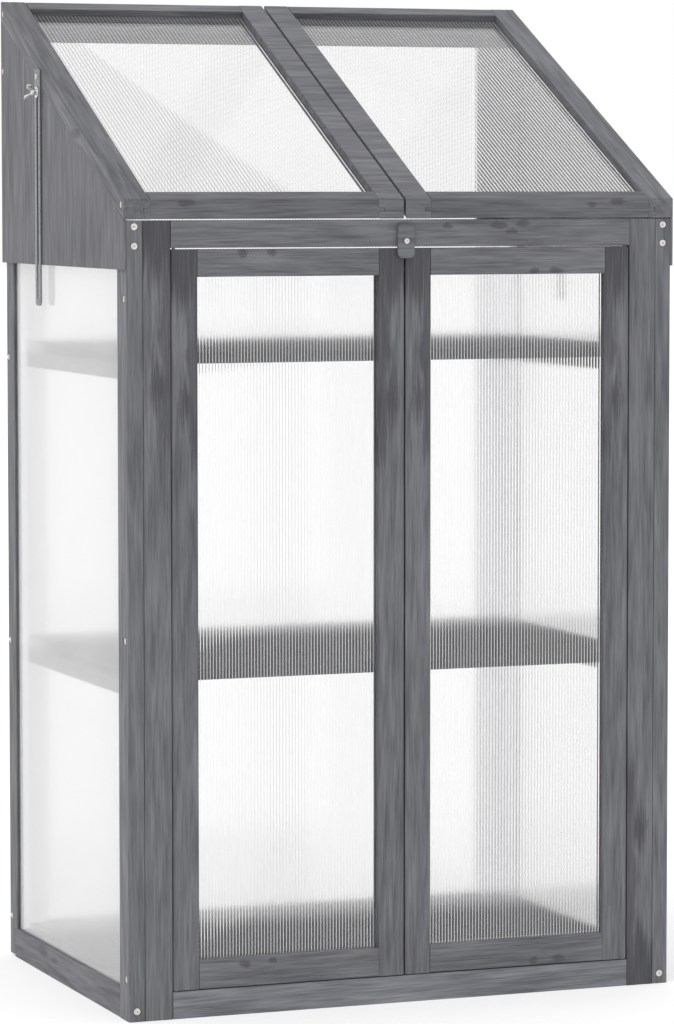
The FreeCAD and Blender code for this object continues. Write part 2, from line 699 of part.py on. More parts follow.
# Lids. A lid batten's own X runs to the right or down the slope, and its own Y runs down from the
# top face. The ends and the outer edges of the rails are cut plumb.
def lid(side):
    left = side == "left"
    left_x = "0 - half_width" if left else "lid_meeting_gap / 2"
    screws = f"{side}_lid_screws"

    def stile(label, groove, back_arris):
        piece = batten(label, "lid_stile_wide", "lid_long + plumb", "lid_thick",
                       grooves=groove, pane_inset="lid_pane_inset", back_arris=back_arris,
                       start="0 - plumb")
        trim(piece, "YZ_Plane", [("0", "0 - plumb"), ("lid_thick", "0 - plumb"), ("0", "0")])
        trim(piece, "YZ_Plane", [("0", "lid_long"), ("lid_thick", "lid_long - plumb"),
                                 ("lid_thick", "lid_long")])
        return piece

    outer_stile = stile(f"{side}_lid_outer_stile", "far" if left else "near",
                        "lid_under_arris")
    face, aim = ("0", "+x") if left else ("lid_stile_wide", "-x")
    for along in ("lid_screw_front", "lid_long - lid_screw_back"):
        screw_seat(outer_stile, (face, "lid_screw_down", along), aim, screws,
                   "lid_screw_long", "small_seat_wide")
    drill(outer_stile, "stay_pin_wide", "stay_pin_reach",
          (face, "stay_pin_down", "stay_pin_along"), aim)
    inner_stile = stile(f"{side}_lid_inner_stile", "near" if left else "far", "arris")
    far_x = f"{left_x} + lid_wide - lid_stile_wide"
    place(outer_stile, left_x if left else far_x, "0", "lid_top", UP_THE_SLOPE, "lid_pitch")
    place(inner_stile, far_x if left else left_x, "0", "lid_top", UP_THE_SLOPE, "lid_pitch")

    rail_x = f"{left_x} + lid_stile_wide + lid_joint_gap"
    front_rail = batten(f"{side}_lid_front_rail", "lid_rail_wide", "lid_rail_long", "lid_thick",
                        grooves="near", pane_inset="lid_pane_inset", tongues="start end",
                        tongue_span=("groove_deep", "lid_rail_wide"), far_lean="plumb")
    place(front_rail, rail_x, "lid_rail_wide * fall", "lid_top + lid_rail_wide * lean",
          ACROSS_THE_SLOPE, "lid_pitch")
    back_rail = batten(f"{side}_lid_back_rail", "lid_rail_wide", "lid_rail_long", "lid_thick",
                       grooves="far", pane_inset="lid_pane_inset", tongues="start end",
                       tongue_span=("0", "lid_rail_wide - groove_deep"),
                       near_lean="plumb")
    place(back_rail, rail_x, "depth", "lid_top + depth * rise", ACROSS_THE_SLOPE, "lid_pitch")

    pane = plain_box(f"{side}_lid_pane", "lid_glass_wide + 2 * pane_bite",
                     "lid_glass_long + 2 * pane_bite", "pane_thick")
    along = "(lid_rail_wide - pane_bite)"
    down = "(lid_pane_inset + pane_thick)"
    place(pane, f"{left_x} + lid_stile_wide - pane_bite", f"{along} * fall + {down} * lean",
          f"lid_top + {along} * lean - {down} * fall", UPRIGHT, "lid_pitch")
    nodes.extend([outer_stile, inner_stile, front_rail, back_rail, pane])


for side in ("left", "right"):
    lid(side)


# Lid hinges, on the back faces of the lids and of the back top rail. Each body's own origin is on
# the hinge axis, at the hinge's left end.
def hinge_leaf(label, moving):
    third = "hinge_long / 3"
    body = new_body(label)
    plate_z = "leaf_start" if moving else "0 - leaf_start - hinge_leaf_tall"
    to_face = "0 - knuckle_radius - hinge_face_gap"
    box_in(body, ("hinge_long", "hinge_leaf_thick", "hinge_leaf_tall"), ("0", to_face, plate_z))
    link_z = "0" if moving else "0 - leaf_start"
    stretches = [third] if moving else ["0", f"2 * {third}"]
    trimmed = "hinge_knuckle_gap" if moving else "0"
    for start in stretches:
        spot_x = f"{start} + {trimmed}"
        long = f"{third} - 2 * {trimmed}"
        box_in(body, (long, "hinge_leaf_thick", "leaf_start"), (spot_x, to_face, link_z))
        cylinder_in(body, "Additive", "hinge_knuckle_wide", long, (spot_x, "0", "0"), "+x")
    if moving:
        drill(body, "hinge_pin_wide + 2 * hinge_pin_play", "hinge_long", ("0", "0", "0"), "+x")
    else:
        cylinder_in(body, "Additive", "hinge_pin_wide", "hinge_long", ("0", "0", "0"), "+x")
    return body


def lid_hinges():
    fixed = []
    outermost = "(half_width - hinge_inset)"
    innermost = "(lid_meeting_gap / 2 + hinge_inset)"
    starts = {"left": (f"0 - {outermost}", f"0 - {innermost} - hinge_long"),
              "right": (innermost, f"{outermost} - hinge_long")}
    for side, left_ends in starts.items():
        moving = []
        for number, x in enumerate(left_ends, start=1):
            leaf = hinge_leaf(f"{side}_moving_leaf_{number}", True)
            place(leaf, x, "hinge_y", "hinge_z")
            moving.append(leaf)
            leaf = hinge_leaf(f"{side}_fixed_leaf_{number}", False)
            place(leaf, x, "hinge_y", "hinge_z")
            fixed.append(leaf)
        group_of(f"{side}_lid_hinge_leaves", moving)
    group_of("fixed_hinge_leaves", fixed)


lid_hinges()


# Shelves and floor board, on cleats fixed to the inner faces of the posts.
def boards():
    cleats = []
    for label, top in (("upper_shelf", "upper_shelf_top"), ("lower_shelf", "lower_shelf_top"),
                       ("floor_board", "floor_board_top")):
        board = batten(label, "board_deep", "2 * board_half", "shelf_thick")
        place(board, "0 - board_half", "board_front", f"{top} - shelf_thick", BOARD)
        nodes.append(board)
        for side, x in (("left", "0 - post_inner"), ("right", "post_inner - cleat_wide")):
            cleat = plain_box(f"{side}_{label}_cleat", "cleat_wide", "cleat_deep", "cleat_tall")
            place(cleat, x, "cleat_front", f"{top} - shelf_thick - cleat_tall")
            cleats.append(cleat)
    group_of("shelf_cleats", cleats)


boards()


# Turn button on the front top rail. Its own origin is on its screw's axis, at its back face.
def turn_button():
    button = new_body("turn_button")
    half_wide = "button_wide / 2"
    half_tall = "button_tall / 2"
    pad(button, outline(button, "XZ_Plane", [(f"0 - {half_wide}", f"0 - {half_tall}"),
                                             (half_wide, f"0 - {half_tall}"),
                                             (half_wide, half_tall),
                                             (f"0 - {half_wide}", half_tall)]), "button_thick")
    doc.recompute()
    round_corners(button, "button_round", Vector(0, 1, 0))
    drill(button, "button_shank_wide + 2 * button_shank_play", "button_thick",
          ("0", "0", "0"), "-y")
    place(button, "0", "0 - button_gap", "button_height")
    nodes.append(button)


turn_button()


# Stays. An arm hangs on the pin in its lid, and its slot slides over the bolt in the gable panel.
def stay(side):
    right = side == "right"
    sign = "" if right else "0 - "
    outward = "+x" if right else "-x"

    arm = new_body(f"{side}_stay_arm")
    half = "stay_wide / 2"
    pad(arm, outline(arm, "YZ_Plane", [(f"0 - {half}", "0 - stay_below_pivot"),
                                       (half, "0 - stay_below_pivot"),
                                       (half, "stay_above_pivot"),
                                       (f"0 - {half}", "stay_above_pivot")]), "stay_thick")
    doc.recompute()
    round_corners(arm, "stay_round", Vector(1, 0, 0))
    half = "slot_wide / 2"
    low = f"slot_low + {half}"
    high = f"slot_high - {half}"
    trim(arm, "YZ_Plane", [(f"0 - {half}", low), (half, low), (half, high), (f"0 - {half}", high)])
    for height in (low, high):
        drill(arm, "slot_wide", "stay_thick", ("0", "0", height), "+x")
    drill(arm, "stay_pin_wide + 2 * stay_pin_play", "stay_thick", ("0", "0", "0"), "+x")
    place(arm, "stay_inner" if right else "0 - stay_outer", "stay_back", "stay_pivot_height")

    # The slider is the bolt's outer end: a sleeve in the slot, a washer and a stud.
    slider = new_body(f"{side}_stay_slider")
    cylinder_in(slider, "Additive", "slot_wide - 2 * sleeve_play", "washer_inner - stay_inner",
                ("0", "0", "0"), outward)
    cylinder_in(slider, "Additive", "washer_wide", "washer_thick",
                (f"{sign}(washer_inner - stay_inner)", "0", "0"), outward)
    cylinder_in(slider, "Additive", "bolt_wide",
                "nut_inner + nut_hub_thick + stud_past_nut - stay_inner", ("0", "0", "0"), outward)
    place(slider, f"{sign}stay_inner", "stay_back", "stay_bolt_height")

    nut = new_body(f"{side}_wing_nut")
    tip = "(wing_out - wing_tip_wide)"
    ear = [("0", "0"), ("nut_hub_wide / 2", "0"), ("wing_reach", tip), ("wing_reach", "wing_out"),
           ("nut_hub_wide / 2 + wing_round", "wing_out"), ("nut_hub_wide / 4", "nut_hub_thick"),
           ("0", "nut_hub_thick")]
    for turn in ("", "0 - "):
        points = [(f"{sign}({out})", f"{turn}({up})") for up, out in ear]
        wing = pad(nut, outline(nut, "XZ_Plane", points, "WingOutline"), "wing_thick")
        wing.SideType = "Symmetric"
    cylinder_in(nut, "Additive", "nut_hub_wide", "nut_hub_thick", ("0", "0", "0"), outward)
    drill(nut, "bolt_wide + 2 * nut_bore_play", "wing_out", ("0", "0", "0"), outward)
    place(nut, f"{sign}nut_inner", "stay_back", "stay_bolt_height", pitch="nut_turn")
    nodes.extend([arm, slider, nut])


for side in ("left", "right"):
    stay(side)


# Fasteners. A screw is turned from one profile: a countersunk head, then a straight shank.
doc.recompute()


def screw_shape(length):
    sunk = value("screw_sunk")
    deep = value("screw_seat_deep")
    head = value("screw_head_wide") / 2
    shank = value("screw_shank_wide") / 2
    profile = [Vector(0, 0, sunk), Vector(head, 0, sunk), Vector(head, 0, deep),
               Vector(shank, 0, deep + value("screw_head_tall")), Vector(shank, 0, length - shank),
               Vector(0, 0, length), Vector(0, 0, sunk)]
    face = Part.Face(Part.makePolygon(profile))
    return face.revolve(Vector(0, 0, 0), Vector(0, 0, 1), 360)


def headed_pin(head_wide, head_thick, shank_wide, length):
    """A pin whose head stands below its own origin and whose shank runs up along Z."""
    head = Part.makeCylinder(value(head_wide) / 2, value(head_thick),
                             Vector(0, 0, -value(head_thick)))
    shank = Part.makeCylinder(value(shank_wide) / 2, length)
    return head.fuse(shank).removeSplitter().Solids[0]


def at(shape, x, y, z, aim):
    """The shape turned along an aim and moved to a place that place() would give it."""
    moved = shape.copy()
    spot = Vector(value(x), value(y) - value("origin_y"), value(z))
    moved.Placement = Placement(spot, AIM[aim])
    return moved


fasteners = {"frame_fasteners": [], "left_lid_screws": [], "right_lid_screws": []}
for body, seat, group, length in screw_seats:
    screw = screw_shape(value(length))
    screw.Placement = body.Placement * seat.Placement
    fasteners[group].append(screw)

button_screw = headed_pin("button_head_wide", "button_head_thick", "button_shank_wide",
                          value("2 * button_gap + button_thick + button_shank_reach"))
fasteners["frame_fasteners"].append(
    at(button_screw, "0", "0 - 2 * button_gap - button_thick", "button_height", "+y"))

stay_bolt = headed_pin("bolt_head_wide", "bolt_head_thick", "bolt_wide", value("gable_thick"))
stay_pin = headed_pin("stay_pin_head_wide", "stay_pin_head_thick", "stay_pin_wide",
                      value("stay_pin_head_gap + stay_outer - half_width + stay_pin_reach"))
for side, sign, outward, inward in (("left", "0 - ", "-x", "+x"), ("right", "", "+x", "-x")):
    fasteners["frame_fasteners"].append(
        at(stay_bolt, f"{sign}post_outer", "stay_back", "stay_bolt_height", outward))
    fasteners[f"{side}_lid_screws"].append(
        at(stay_pin, f"{sign}(stay_outer + stay_pin_head_gap)", "stay_back",
           "stay_pivot_height", inward))

for label, shapes in fasteners.items():
    group = doc.addObject("Part::Feature", label)
    group.Label = label
    group.Shape = Part.makeCompound(shapes)
    group.Placement = Placement()
    nodes.append(group)

doc.recompute()
for thing in doc.Objects:
    if "Invalid" in thing.State or "Error" in thing.State:
        raise ValueError(f"{thing.Label} failed: {thing.State}")
for node in nodes:
    if node.Shape.isNull() or not node.Shape.isValid():
        raise ValueError(f"{node.Label} has no valid shape")

os.makedirs("parts", exist_ok=True)
for node in nodes:
    node.Shape.exportStep(f"parts/{node.Label}.step")
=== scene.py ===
"""Dresses the wooden mini greenhouse: stained battens, ribbed glazing, screws, stays and hinges."""

import math
import bmesh
import bpy
from bpy.props import FloatProperty, FloatVectorProperty, PointerProperty
from mathutils import Matrix, Vector


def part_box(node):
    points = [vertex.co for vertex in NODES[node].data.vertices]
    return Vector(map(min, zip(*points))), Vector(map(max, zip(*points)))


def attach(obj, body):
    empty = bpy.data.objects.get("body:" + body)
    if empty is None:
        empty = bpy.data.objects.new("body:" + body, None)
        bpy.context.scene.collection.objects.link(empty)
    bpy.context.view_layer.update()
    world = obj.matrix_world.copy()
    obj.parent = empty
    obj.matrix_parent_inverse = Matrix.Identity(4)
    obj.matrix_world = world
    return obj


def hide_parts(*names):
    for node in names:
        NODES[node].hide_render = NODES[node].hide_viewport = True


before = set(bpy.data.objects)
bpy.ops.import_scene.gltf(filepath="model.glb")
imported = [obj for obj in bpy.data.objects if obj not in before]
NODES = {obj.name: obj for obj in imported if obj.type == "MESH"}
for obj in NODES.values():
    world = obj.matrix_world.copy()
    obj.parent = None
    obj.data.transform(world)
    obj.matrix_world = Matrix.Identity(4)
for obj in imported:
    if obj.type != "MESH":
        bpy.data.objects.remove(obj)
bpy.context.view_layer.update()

bl_info = {
    "name": "Mini Greenhouse",
    "version": (1, 0, 0),
    "blender": (4, 5, 0),
    "location": "View3D > Sidebar > Greenhouse",
    "description": "Stains, glazes and fits out a wooden mini greenhouse",
    "category": "Object",
}

LID_PITCH = math.radians(26.5)
MM = 0.001
WELD = 1e-6


# Settings: the sizes and colours that a user would change

class StainSettings(bpy.types.PropertyGroup):
    light: FloatVectorProperty(name="Light wood", description="Stain on the soft early wood",
                               subtype="COLOR", default=(0.161, 0.165, 0.179), min=0, max=1)
    dark: FloatVectorProperty(name="Dark wood", description="Stain on the hard late wood",
                              subtype="COLOR", default=(0.064, 0.067, 0.076), min=0, max=1)
    soaked: FloatVectorProperty(name="Soaked wood", description="Stain where the wood soaks it up",
                                subtype="COLOR", default=(0.044, 0.044, 0.052), min=0, max=1)
    inner: FloatVectorProperty(name="Inner wood", description="Stain on the shelves and the floor",
                               subtype="COLOR", default=(0.065, 0.071, 0.081), min=0, max=1)
    # Painted light: a pale colour that stands in for the light on the inner faces of the back frame and
    # the backs of the shelves.
    painted_light: FloatVectorProperty(name="Bleached wood",
                                  description="Back of the shelves and inside of the back frame",
                                  subtype="COLOR", default=(0.50, 0.50, 0.51), min=0, max=1)


class GlazingSettings(bpy.types.PropertyGroup):
    pitch: FloatProperty(name="Rib pitch", description="From one rib of an upright pane to the next",
                         subtype="DISTANCE", default=0.00396, min=0.001)
    lid_pitch: FloatProperty(name="Lid rib pitch", description="From one rib of a lid pane to the next",
                             subtype="DISTANCE", default=0.0048, min=0.001)
    skin: FloatProperty(name="Skin", description="What the webs leave of a pane's thickness",
                        subtype="DISTANCE", default=0.0004, min=0.0001)
    side_skin: FloatProperty(name="Side skin", description="What they leave of a side pane's",
                             subtype="DISTANCE", default=0.0026, min=0.0001)
    web: FloatProperty(name="Web thickness", description="Thickness of one web inside a pane",
                       subtype="DISTANCE", default=0.00032, min=0.0001)
    tint: FloatVectorProperty(name="Sheet", description="Colour of the sheet", subtype="COLOR",
                              default=(0.950, 0.950, 0.950), min=0, max=1)
    haze: FloatProperty(name="Haze", description="Roughness of the upright panes",
                        subtype="FACTOR", default=0.11, min=0, max=1)
    lid_haze: FloatProperty(name="Lid haze", description="Roughness of the roof panes",
                            subtype="FACTOR", default=0.0, min=0, max=1)
    blur: FloatProperty(name="Web blur", description="Roughness of the webs", subtype="FACTOR",
                        default=0.06, min=0, max=1)


class MetalSettings(bpy.types.PropertyGroup):
    screw: FloatVectorProperty(name="Screws", description="Plating of the screws", subtype="COLOR",
                               default=(0.74, 0.71, 0.67), min=0, max=1)
    stay: FloatVectorProperty(name="Stays", description="Plating of the stay arms", subtype="COLOR",
                              default=(0.30, 0.30, 0.31), min=0, max=1)
    bright: FloatVectorProperty(name="Wing nuts", description="Plating of the wing nuts",
                                subtype="COLOR", default=(0.80, 0.80, 0.80), min=0, max=1)
    hinge: FloatVectorProperty(name="Hinges", description="Plating of the hinges and the door pins",
                               subtype="COLOR", default=(0.22, 0.22, 0.23), min=0, max=1)


class StageSettings(bpy.types.PropertyGroup):
    sky: FloatProperty(name="Sky", description="Strength of the white surroundings",
                       default=1.0, min=0)
    key: FloatProperty(name="Key lamp", description="Strength of the soft lamp from the upper left",
                       default=0.9, min=0)


SETTINGS = {"greenhouse_stain": StainSettings, "greenhouse_glazing": GlazingSettings,
            "greenhouse_metal": MetalSettings, "greenhouse_stage": StageSettings}


# Node trees and meshes

def add(tree, kind, inputs=None, **settings):
    """A new node with its settings and its inputs, each a value or the output that feeds it."""
    made = tree.nodes.new(kind)
    for name, value in settings.items():
        setattr(made, name, value)
    for key, value in (inputs or {}).items():
        if isinstance(value, bpy.types.NodeSocket):
            tree.links.new(value, made.inputs[key])
        else:
            made.inputs[key].default_value = value
    return made


def maths(tree, operation, *values, clamp=False):
    made = add(tree, "ShaderNodeMath", dict(enumerate(values)), operation=operation,
               use_clamp=clamp)
    return made.outputs[0]


def vector_maths(tree, operation, *values):
    return add(tree, "ShaderNodeVectorMath", dict(enumerate(values)), operation=operation)


def mix_colour(tree, factor, first, second, blend="MIX"):
    made = add(tree, "ShaderNodeMix", {0: factor, 6: first, 7: second}, data_type="RGBA",
               blend_type=blend)
    return made.outputs[2]


def span(tree, value, low, high, to_low=0.0, to_high=1.0):
    """Maps a range of a value to another range, and holds it there."""
    made = add(tree, "ShaderNodeMapRange", {"Value": value, "From Min": low, "From Max": high,
                                            "To Min": to_low, "To Max": to_high},
               interpolation_type="SMOOTHSTEP")
    return made.outputs["Result"]


def new_group(name, inputs, outputs):
    """A shader node group with named inputs and outputs."""
    group = bpy.data.node_groups.new(name, "ShaderNodeTree")
    for label, kind, default in inputs:
        socket = group.interface.new_socket(label, in_out="INPUT", socket_type=kind)
        if default is not None:
            socket.default_value = default
    for label, kind in outputs:
        group.interface.new_socket(label, in_out="OUTPUT", socket_type=kind)
    return group, add(group, "NodeGroupInput").outputs, add(group, "NodeGroupOutput").inputs


def rgba(colour):
    return (*colour, 1.0)


def new_material(name, colour, **values):
    """A material with its Principled node, and single values set on the node's own sockets."""
    material = bpy.data.materials.new(name)
    material.use_nodes = True
    material.diffuse_color = rgba(colour)
    shader = material.node_tree.nodes["Principled BSDF"]
    shader.inputs["Base Color"].default_value = rgba(colour)
    for label, value in values.items():
        shader.inputs[label.replace("_", " ")].default_value = value
    return material, material.node_tree, shader


def streak_noise(tree, vector, across, along, detail=3.0, roughness=0.5):
    """Noise drawn out along Z. Across and along are how often it repeats in a metre."""
    scaled = vector_maths(tree, "MULTIPLY", vector, (across, across, along))
    noise = add(tree, "ShaderNodeTexNoise", {"Vector": scaled.outputs[0], "Scale": 1.0,
                                             "Detail": detail, "Roughness": roughness})
    return noise.outputs["Fac"]


# Wood

def grain_group():
    """Stained softwood whose grain runs along Z of the vector that it is given."""
    group, given, out = new_group(
        "StainedGrain",
        [("Vector", "NodeSocketVector", None),
         ("Light", "NodeSocketColor", rgba((0.2, 0.2, 0.2))),
         ("Dark", "NodeSocketColor", rgba((0.1, 0.1, 0.1))),
         ("Soaked", "NodeSocketColor", rgba((0.05, 0.05, 0.05))),
         ("Soak", "NodeSocketFloat", 0.0)],
        [("Color", "NodeSocketColor"), ("Height", "NodeSocketFloat"),
         ("Roughness", "NodeSocketFloat")])
    vector = given["Vector"]
    fine = streak_noise(group, vector, 520.0, 16.0, 3.0, 0.6)
    mottle = streak_noise(group, vector, 130.0, 13.0, 2.0)
    tone = streak_noise(group, vector, 26.0, 5.0, 1.0)
    fibres = streak_noise(group, vector, 1700.0, 40.0, 2.0, 0.6)

    grain = 0.0
    for noise, weight in ((fine, 1.9), (mottle, 1.15), (tone, 0.8), (fibres, 0.8)):
        grain = maths(group, "MULTIPLY_ADD", maths(group, "SUBTRACT", noise, 0.5), weight, grain)
    share = maths(group, "ADD", grain, 0.5, clamp=True)
    stained = mix_colour(group, share, given["Light"], given["Dark"])

    uneven = maths(group, "MULTIPLY_ADD", maths(group, "SUBTRACT", fine, 0.5), 1.2, 1.0)
    soak = maths(group, "MULTIPLY", given["Soak"], uneven, clamp=True)
    coloured = mix_colour(group, soak, stained, given["Soaked"])
    group.links.new(coloured, out["Color"])
    group.links.new(maths(group, "ADD", fine, fibres), out["Height"])
    group.links.new(span(group, mottle, 0.3, 0.7, 0.50, 0.62), out["Roughness"])
    return group


def spot_group():
    """A soft mask inside an ellipsoid, the greater of its own and the one given."""
    group, given, out = new_group(
        "SoftSpot",
        [("Vector", "NodeSocketVector", None), ("Centre", "NodeSocketVector", (0, 0, 0)),
         ("Reach", "NodeSocketVector", (1, 1, 1)), ("Strength", "NodeSocketFloat", 1.0),
         ("Over", "NodeSocketFloat", 0.0)],
        [("Mask", "NodeSocketFloat")])
    away = vector_maths(group, "SUBTRACT", given["Vector"], given["Centre"])
    share = vector_maths(group, "DIVIDE", away.outputs[0], given["Reach"])
    far = vector_maths(group, "LENGTH", share.outputs[0]).outputs["Value"]
    inside = maths(group, "MULTIPLY", span(group, far, 1.0, 0.45), given["Strength"])
    group.links.new(maths(group, "MAXIMUM", inside, given["Over"]), out["Mask"])
    return group


# Where a stile's end soaked up more stain. X runs across the stile to its darker edge and Z runs
# from the soaked end, both as a share of the stile: centre, reach and strength.
END_SPOTS = [((0.50, 0.000), (3.00, 0.090), 0.95), ((0.90, 0.120), (0.42, 0.105), 0.62),
             ((0.48, 0.205), (0.34, 0.038), 0.80), ((0.80, 0.210), (0.40, 0.046), 0.62),
             ((0.92, 0.262), (0.36, 0.040), 0.72)]


def soaked_end_group(spot):
    """The soaked end of a stile, with its edges drawn out along the grain."""
    group, given, out = new_group(
        "SoakedEnd", [("Vector", "NodeSocketVector", None)], [("Mask", "NodeSocketFloat")])
    ragged = streak_noise(group, given["Vector"], 22.0, 7.0, 3.0, 0.7)
    shift = maths(group, "MULTIPLY_ADD", ragged, 0.18, -0.09)
    spread = streak_noise(group, given["Vector"], 2.0, 40.0, 2.0)
    aside = maths(group, "MULTIPLY_ADD", spread, 0.5, -0.25)
    bent = vector_maths(group, "ADD", given["Vector"],
                        add(group, "ShaderNodeCombineXYZ", {"X": aside, "Z": shift}).outputs[0])
    flat = vector_maths(group, "MULTIPLY", bent.outputs[0], (1, 0, 1)).outputs[0]
    mask = 0.0
    for (across, along), (wide, long), strength in END_SPOTS:
        made = add(group, "ShaderNodeGroup", {
            "Vector": flat, "Centre": (across, 0, along), "Reach": (wide, 1, long),
            "Strength": strength, "Over": mask}, node_tree=spot)
        mask = made.outputs["Mask"]
    group.links.new(mask, out["Mask"])
    return group


# Turns that bring a grain direction to Z.
GRAIN_TURNS = {"x": (0, -math.pi / 2, 0), "y": (math.pi / 2, 0, 0), "z": (0, 0, 0),
               "slope": (math.pi / 2 - LID_PITCH, 0, 0)}

# Which way the grain of each wooden piece runs.
GRAIN = {
    "z": ["left_front_post", "right_front_post", "left_back_post", "right_back_post",
          "left_gable_panel", "right_gable_panel", "front_left_stile", "front_right_stile",
          "back_left_stile", "back_right_stile", "left_door_hinge_stile",
          "left_door_meeting_stile", "right_door_hinge_stile", "right_door_meeting_stile"],
    "x": ["front_top_rail", "front_bottom_rail", "back_top_rail", "back_bottom_rail",
          "left_door_top_rail", "left_door_bottom_rail", "right_door_top_rail",
          "right_door_bottom_rail", "left_lid_front_rail", "left_lid_back_rail",
          "right_lid_front_rail", "right_lid_back_rail", "left_lid_inner_stile",
          "right_lid_inner_stile"],
    "y": ["left_bottom_rail", "left_top_rail", "right_bottom_rail", "right_top_rail",
          "shelf_cleats"],
    "slope": ["left_lid_outer_stile", "right_lid_outer_stile"],
}
BOARDS = ["upper_shelf", "lower_shelf", "floor_board"]

# Stiles with a soaked end: whether the top end is soaked, and whether the right edge is darker.
SOAKED_ENDS = {"front_left_stile": (True, True), "left_door_hinge_stile": (True, True),
               "left_door_meeting_stile": (True, False),
               "right_door_meeting_stile": (True, True),
               "right_door_hinge_stile": (True, False), "front_right_stile": (False, False)}

# Pieces that took the stain lighter or darker than the rest.
TONES = {"left_lid_front_rail": 0.81, "right_lid_front_rail": 0.86, "left_gable_panel": 0.83,
         "right_gable_panel": 0.83, "front_bottom_rail": 1.30, "left_back_post": 0.92,
         "left_bottom_rail": 0.92, "left_lid_outer_stile": 0.93}

# Pieces whose inner faces carry painted light, a pale colour and a glow that stand in for the light they
# catch inside the cabinet, as they look through the panes: how far out and how high that goes, how much
# paler than the shelves they are, and how strongly they glow.
PAINTED_LIGHT_PIECES = ["back_left_stile", "back_right_stile", "left_back_post", "right_back_post"]
SIDE_PANE = 0.340
PAINTED_LIGHT_TOP = 0.90
PAINTED_LIGHT_GAIN = 1.75
PAINTED_LIGHT_GLOW = 0.4

# How far back the painted light on the shelves begins, standing in for the bright back pane
# that lights them and shows in them, and where it is as strong as it gets.
BOARD_PAINTED_LIGHT_FROM = 0.08
BOARD_PAINTED_LIGHT_TO = 0.24

# Small knots and stains: centre and reach in millimetres, in the cabinet's own directions.
SPOTS = {
    "left_lid_front_rail": [((-274, -245, 957), (15, 20, 6))],
    "right_lid_front_rail": [((277, -245, 958), (13, 20, 6)), ((243, -245, 954), (10, 20, 4))],
    "front_top_rail": [((121, -245, 930), (14, 20, 6)), ((151, -245, 932), (13, 20, 6)),
                       ((138, -245, 923), (12, 20, 4)), ((55, -245, 929), (9, 20, 5))],
    "left_door_top_rail": [((-204, -245, 899), (8, 20, 7)), ((-168, -245, 899), (8, 20, 6))],
    "right_door_top_rail": [((167, -245, 875), (8, 20, 6)), ((196, -245, 875), (11, 20, 6))],
    "left_door_bottom_rail": [((-203, -245, 60), (11, 20, 6)), ((-168, -245, 62), (8, 20, 5))],
    "right_door_bottom_rail": [((168, -245, 40), (9, 20, 6)), ((201, -245, 40), (11, 20, 6))],
    "left_bottom_rail": [((-347, 98, 27), (20, 26, 7)), ((-347, 50, 24), (20, 16, 5))],
    "left_lid_outer_stile": [((-350, -61, 1039), (20, 26, 8))],
}
SPOT_STRENGTH = 0.72

# How each piece gets its own stretch of grain: the turn from one piece to the next, how far to
# the side and along the grain that takes it, and how much the grain leans.
GRAIN_SPIN = 2.399
GRAIN_ASIDE = 0.062
GRAIN_ALONG = 0.166
GRAIN_LEAN = 0.010


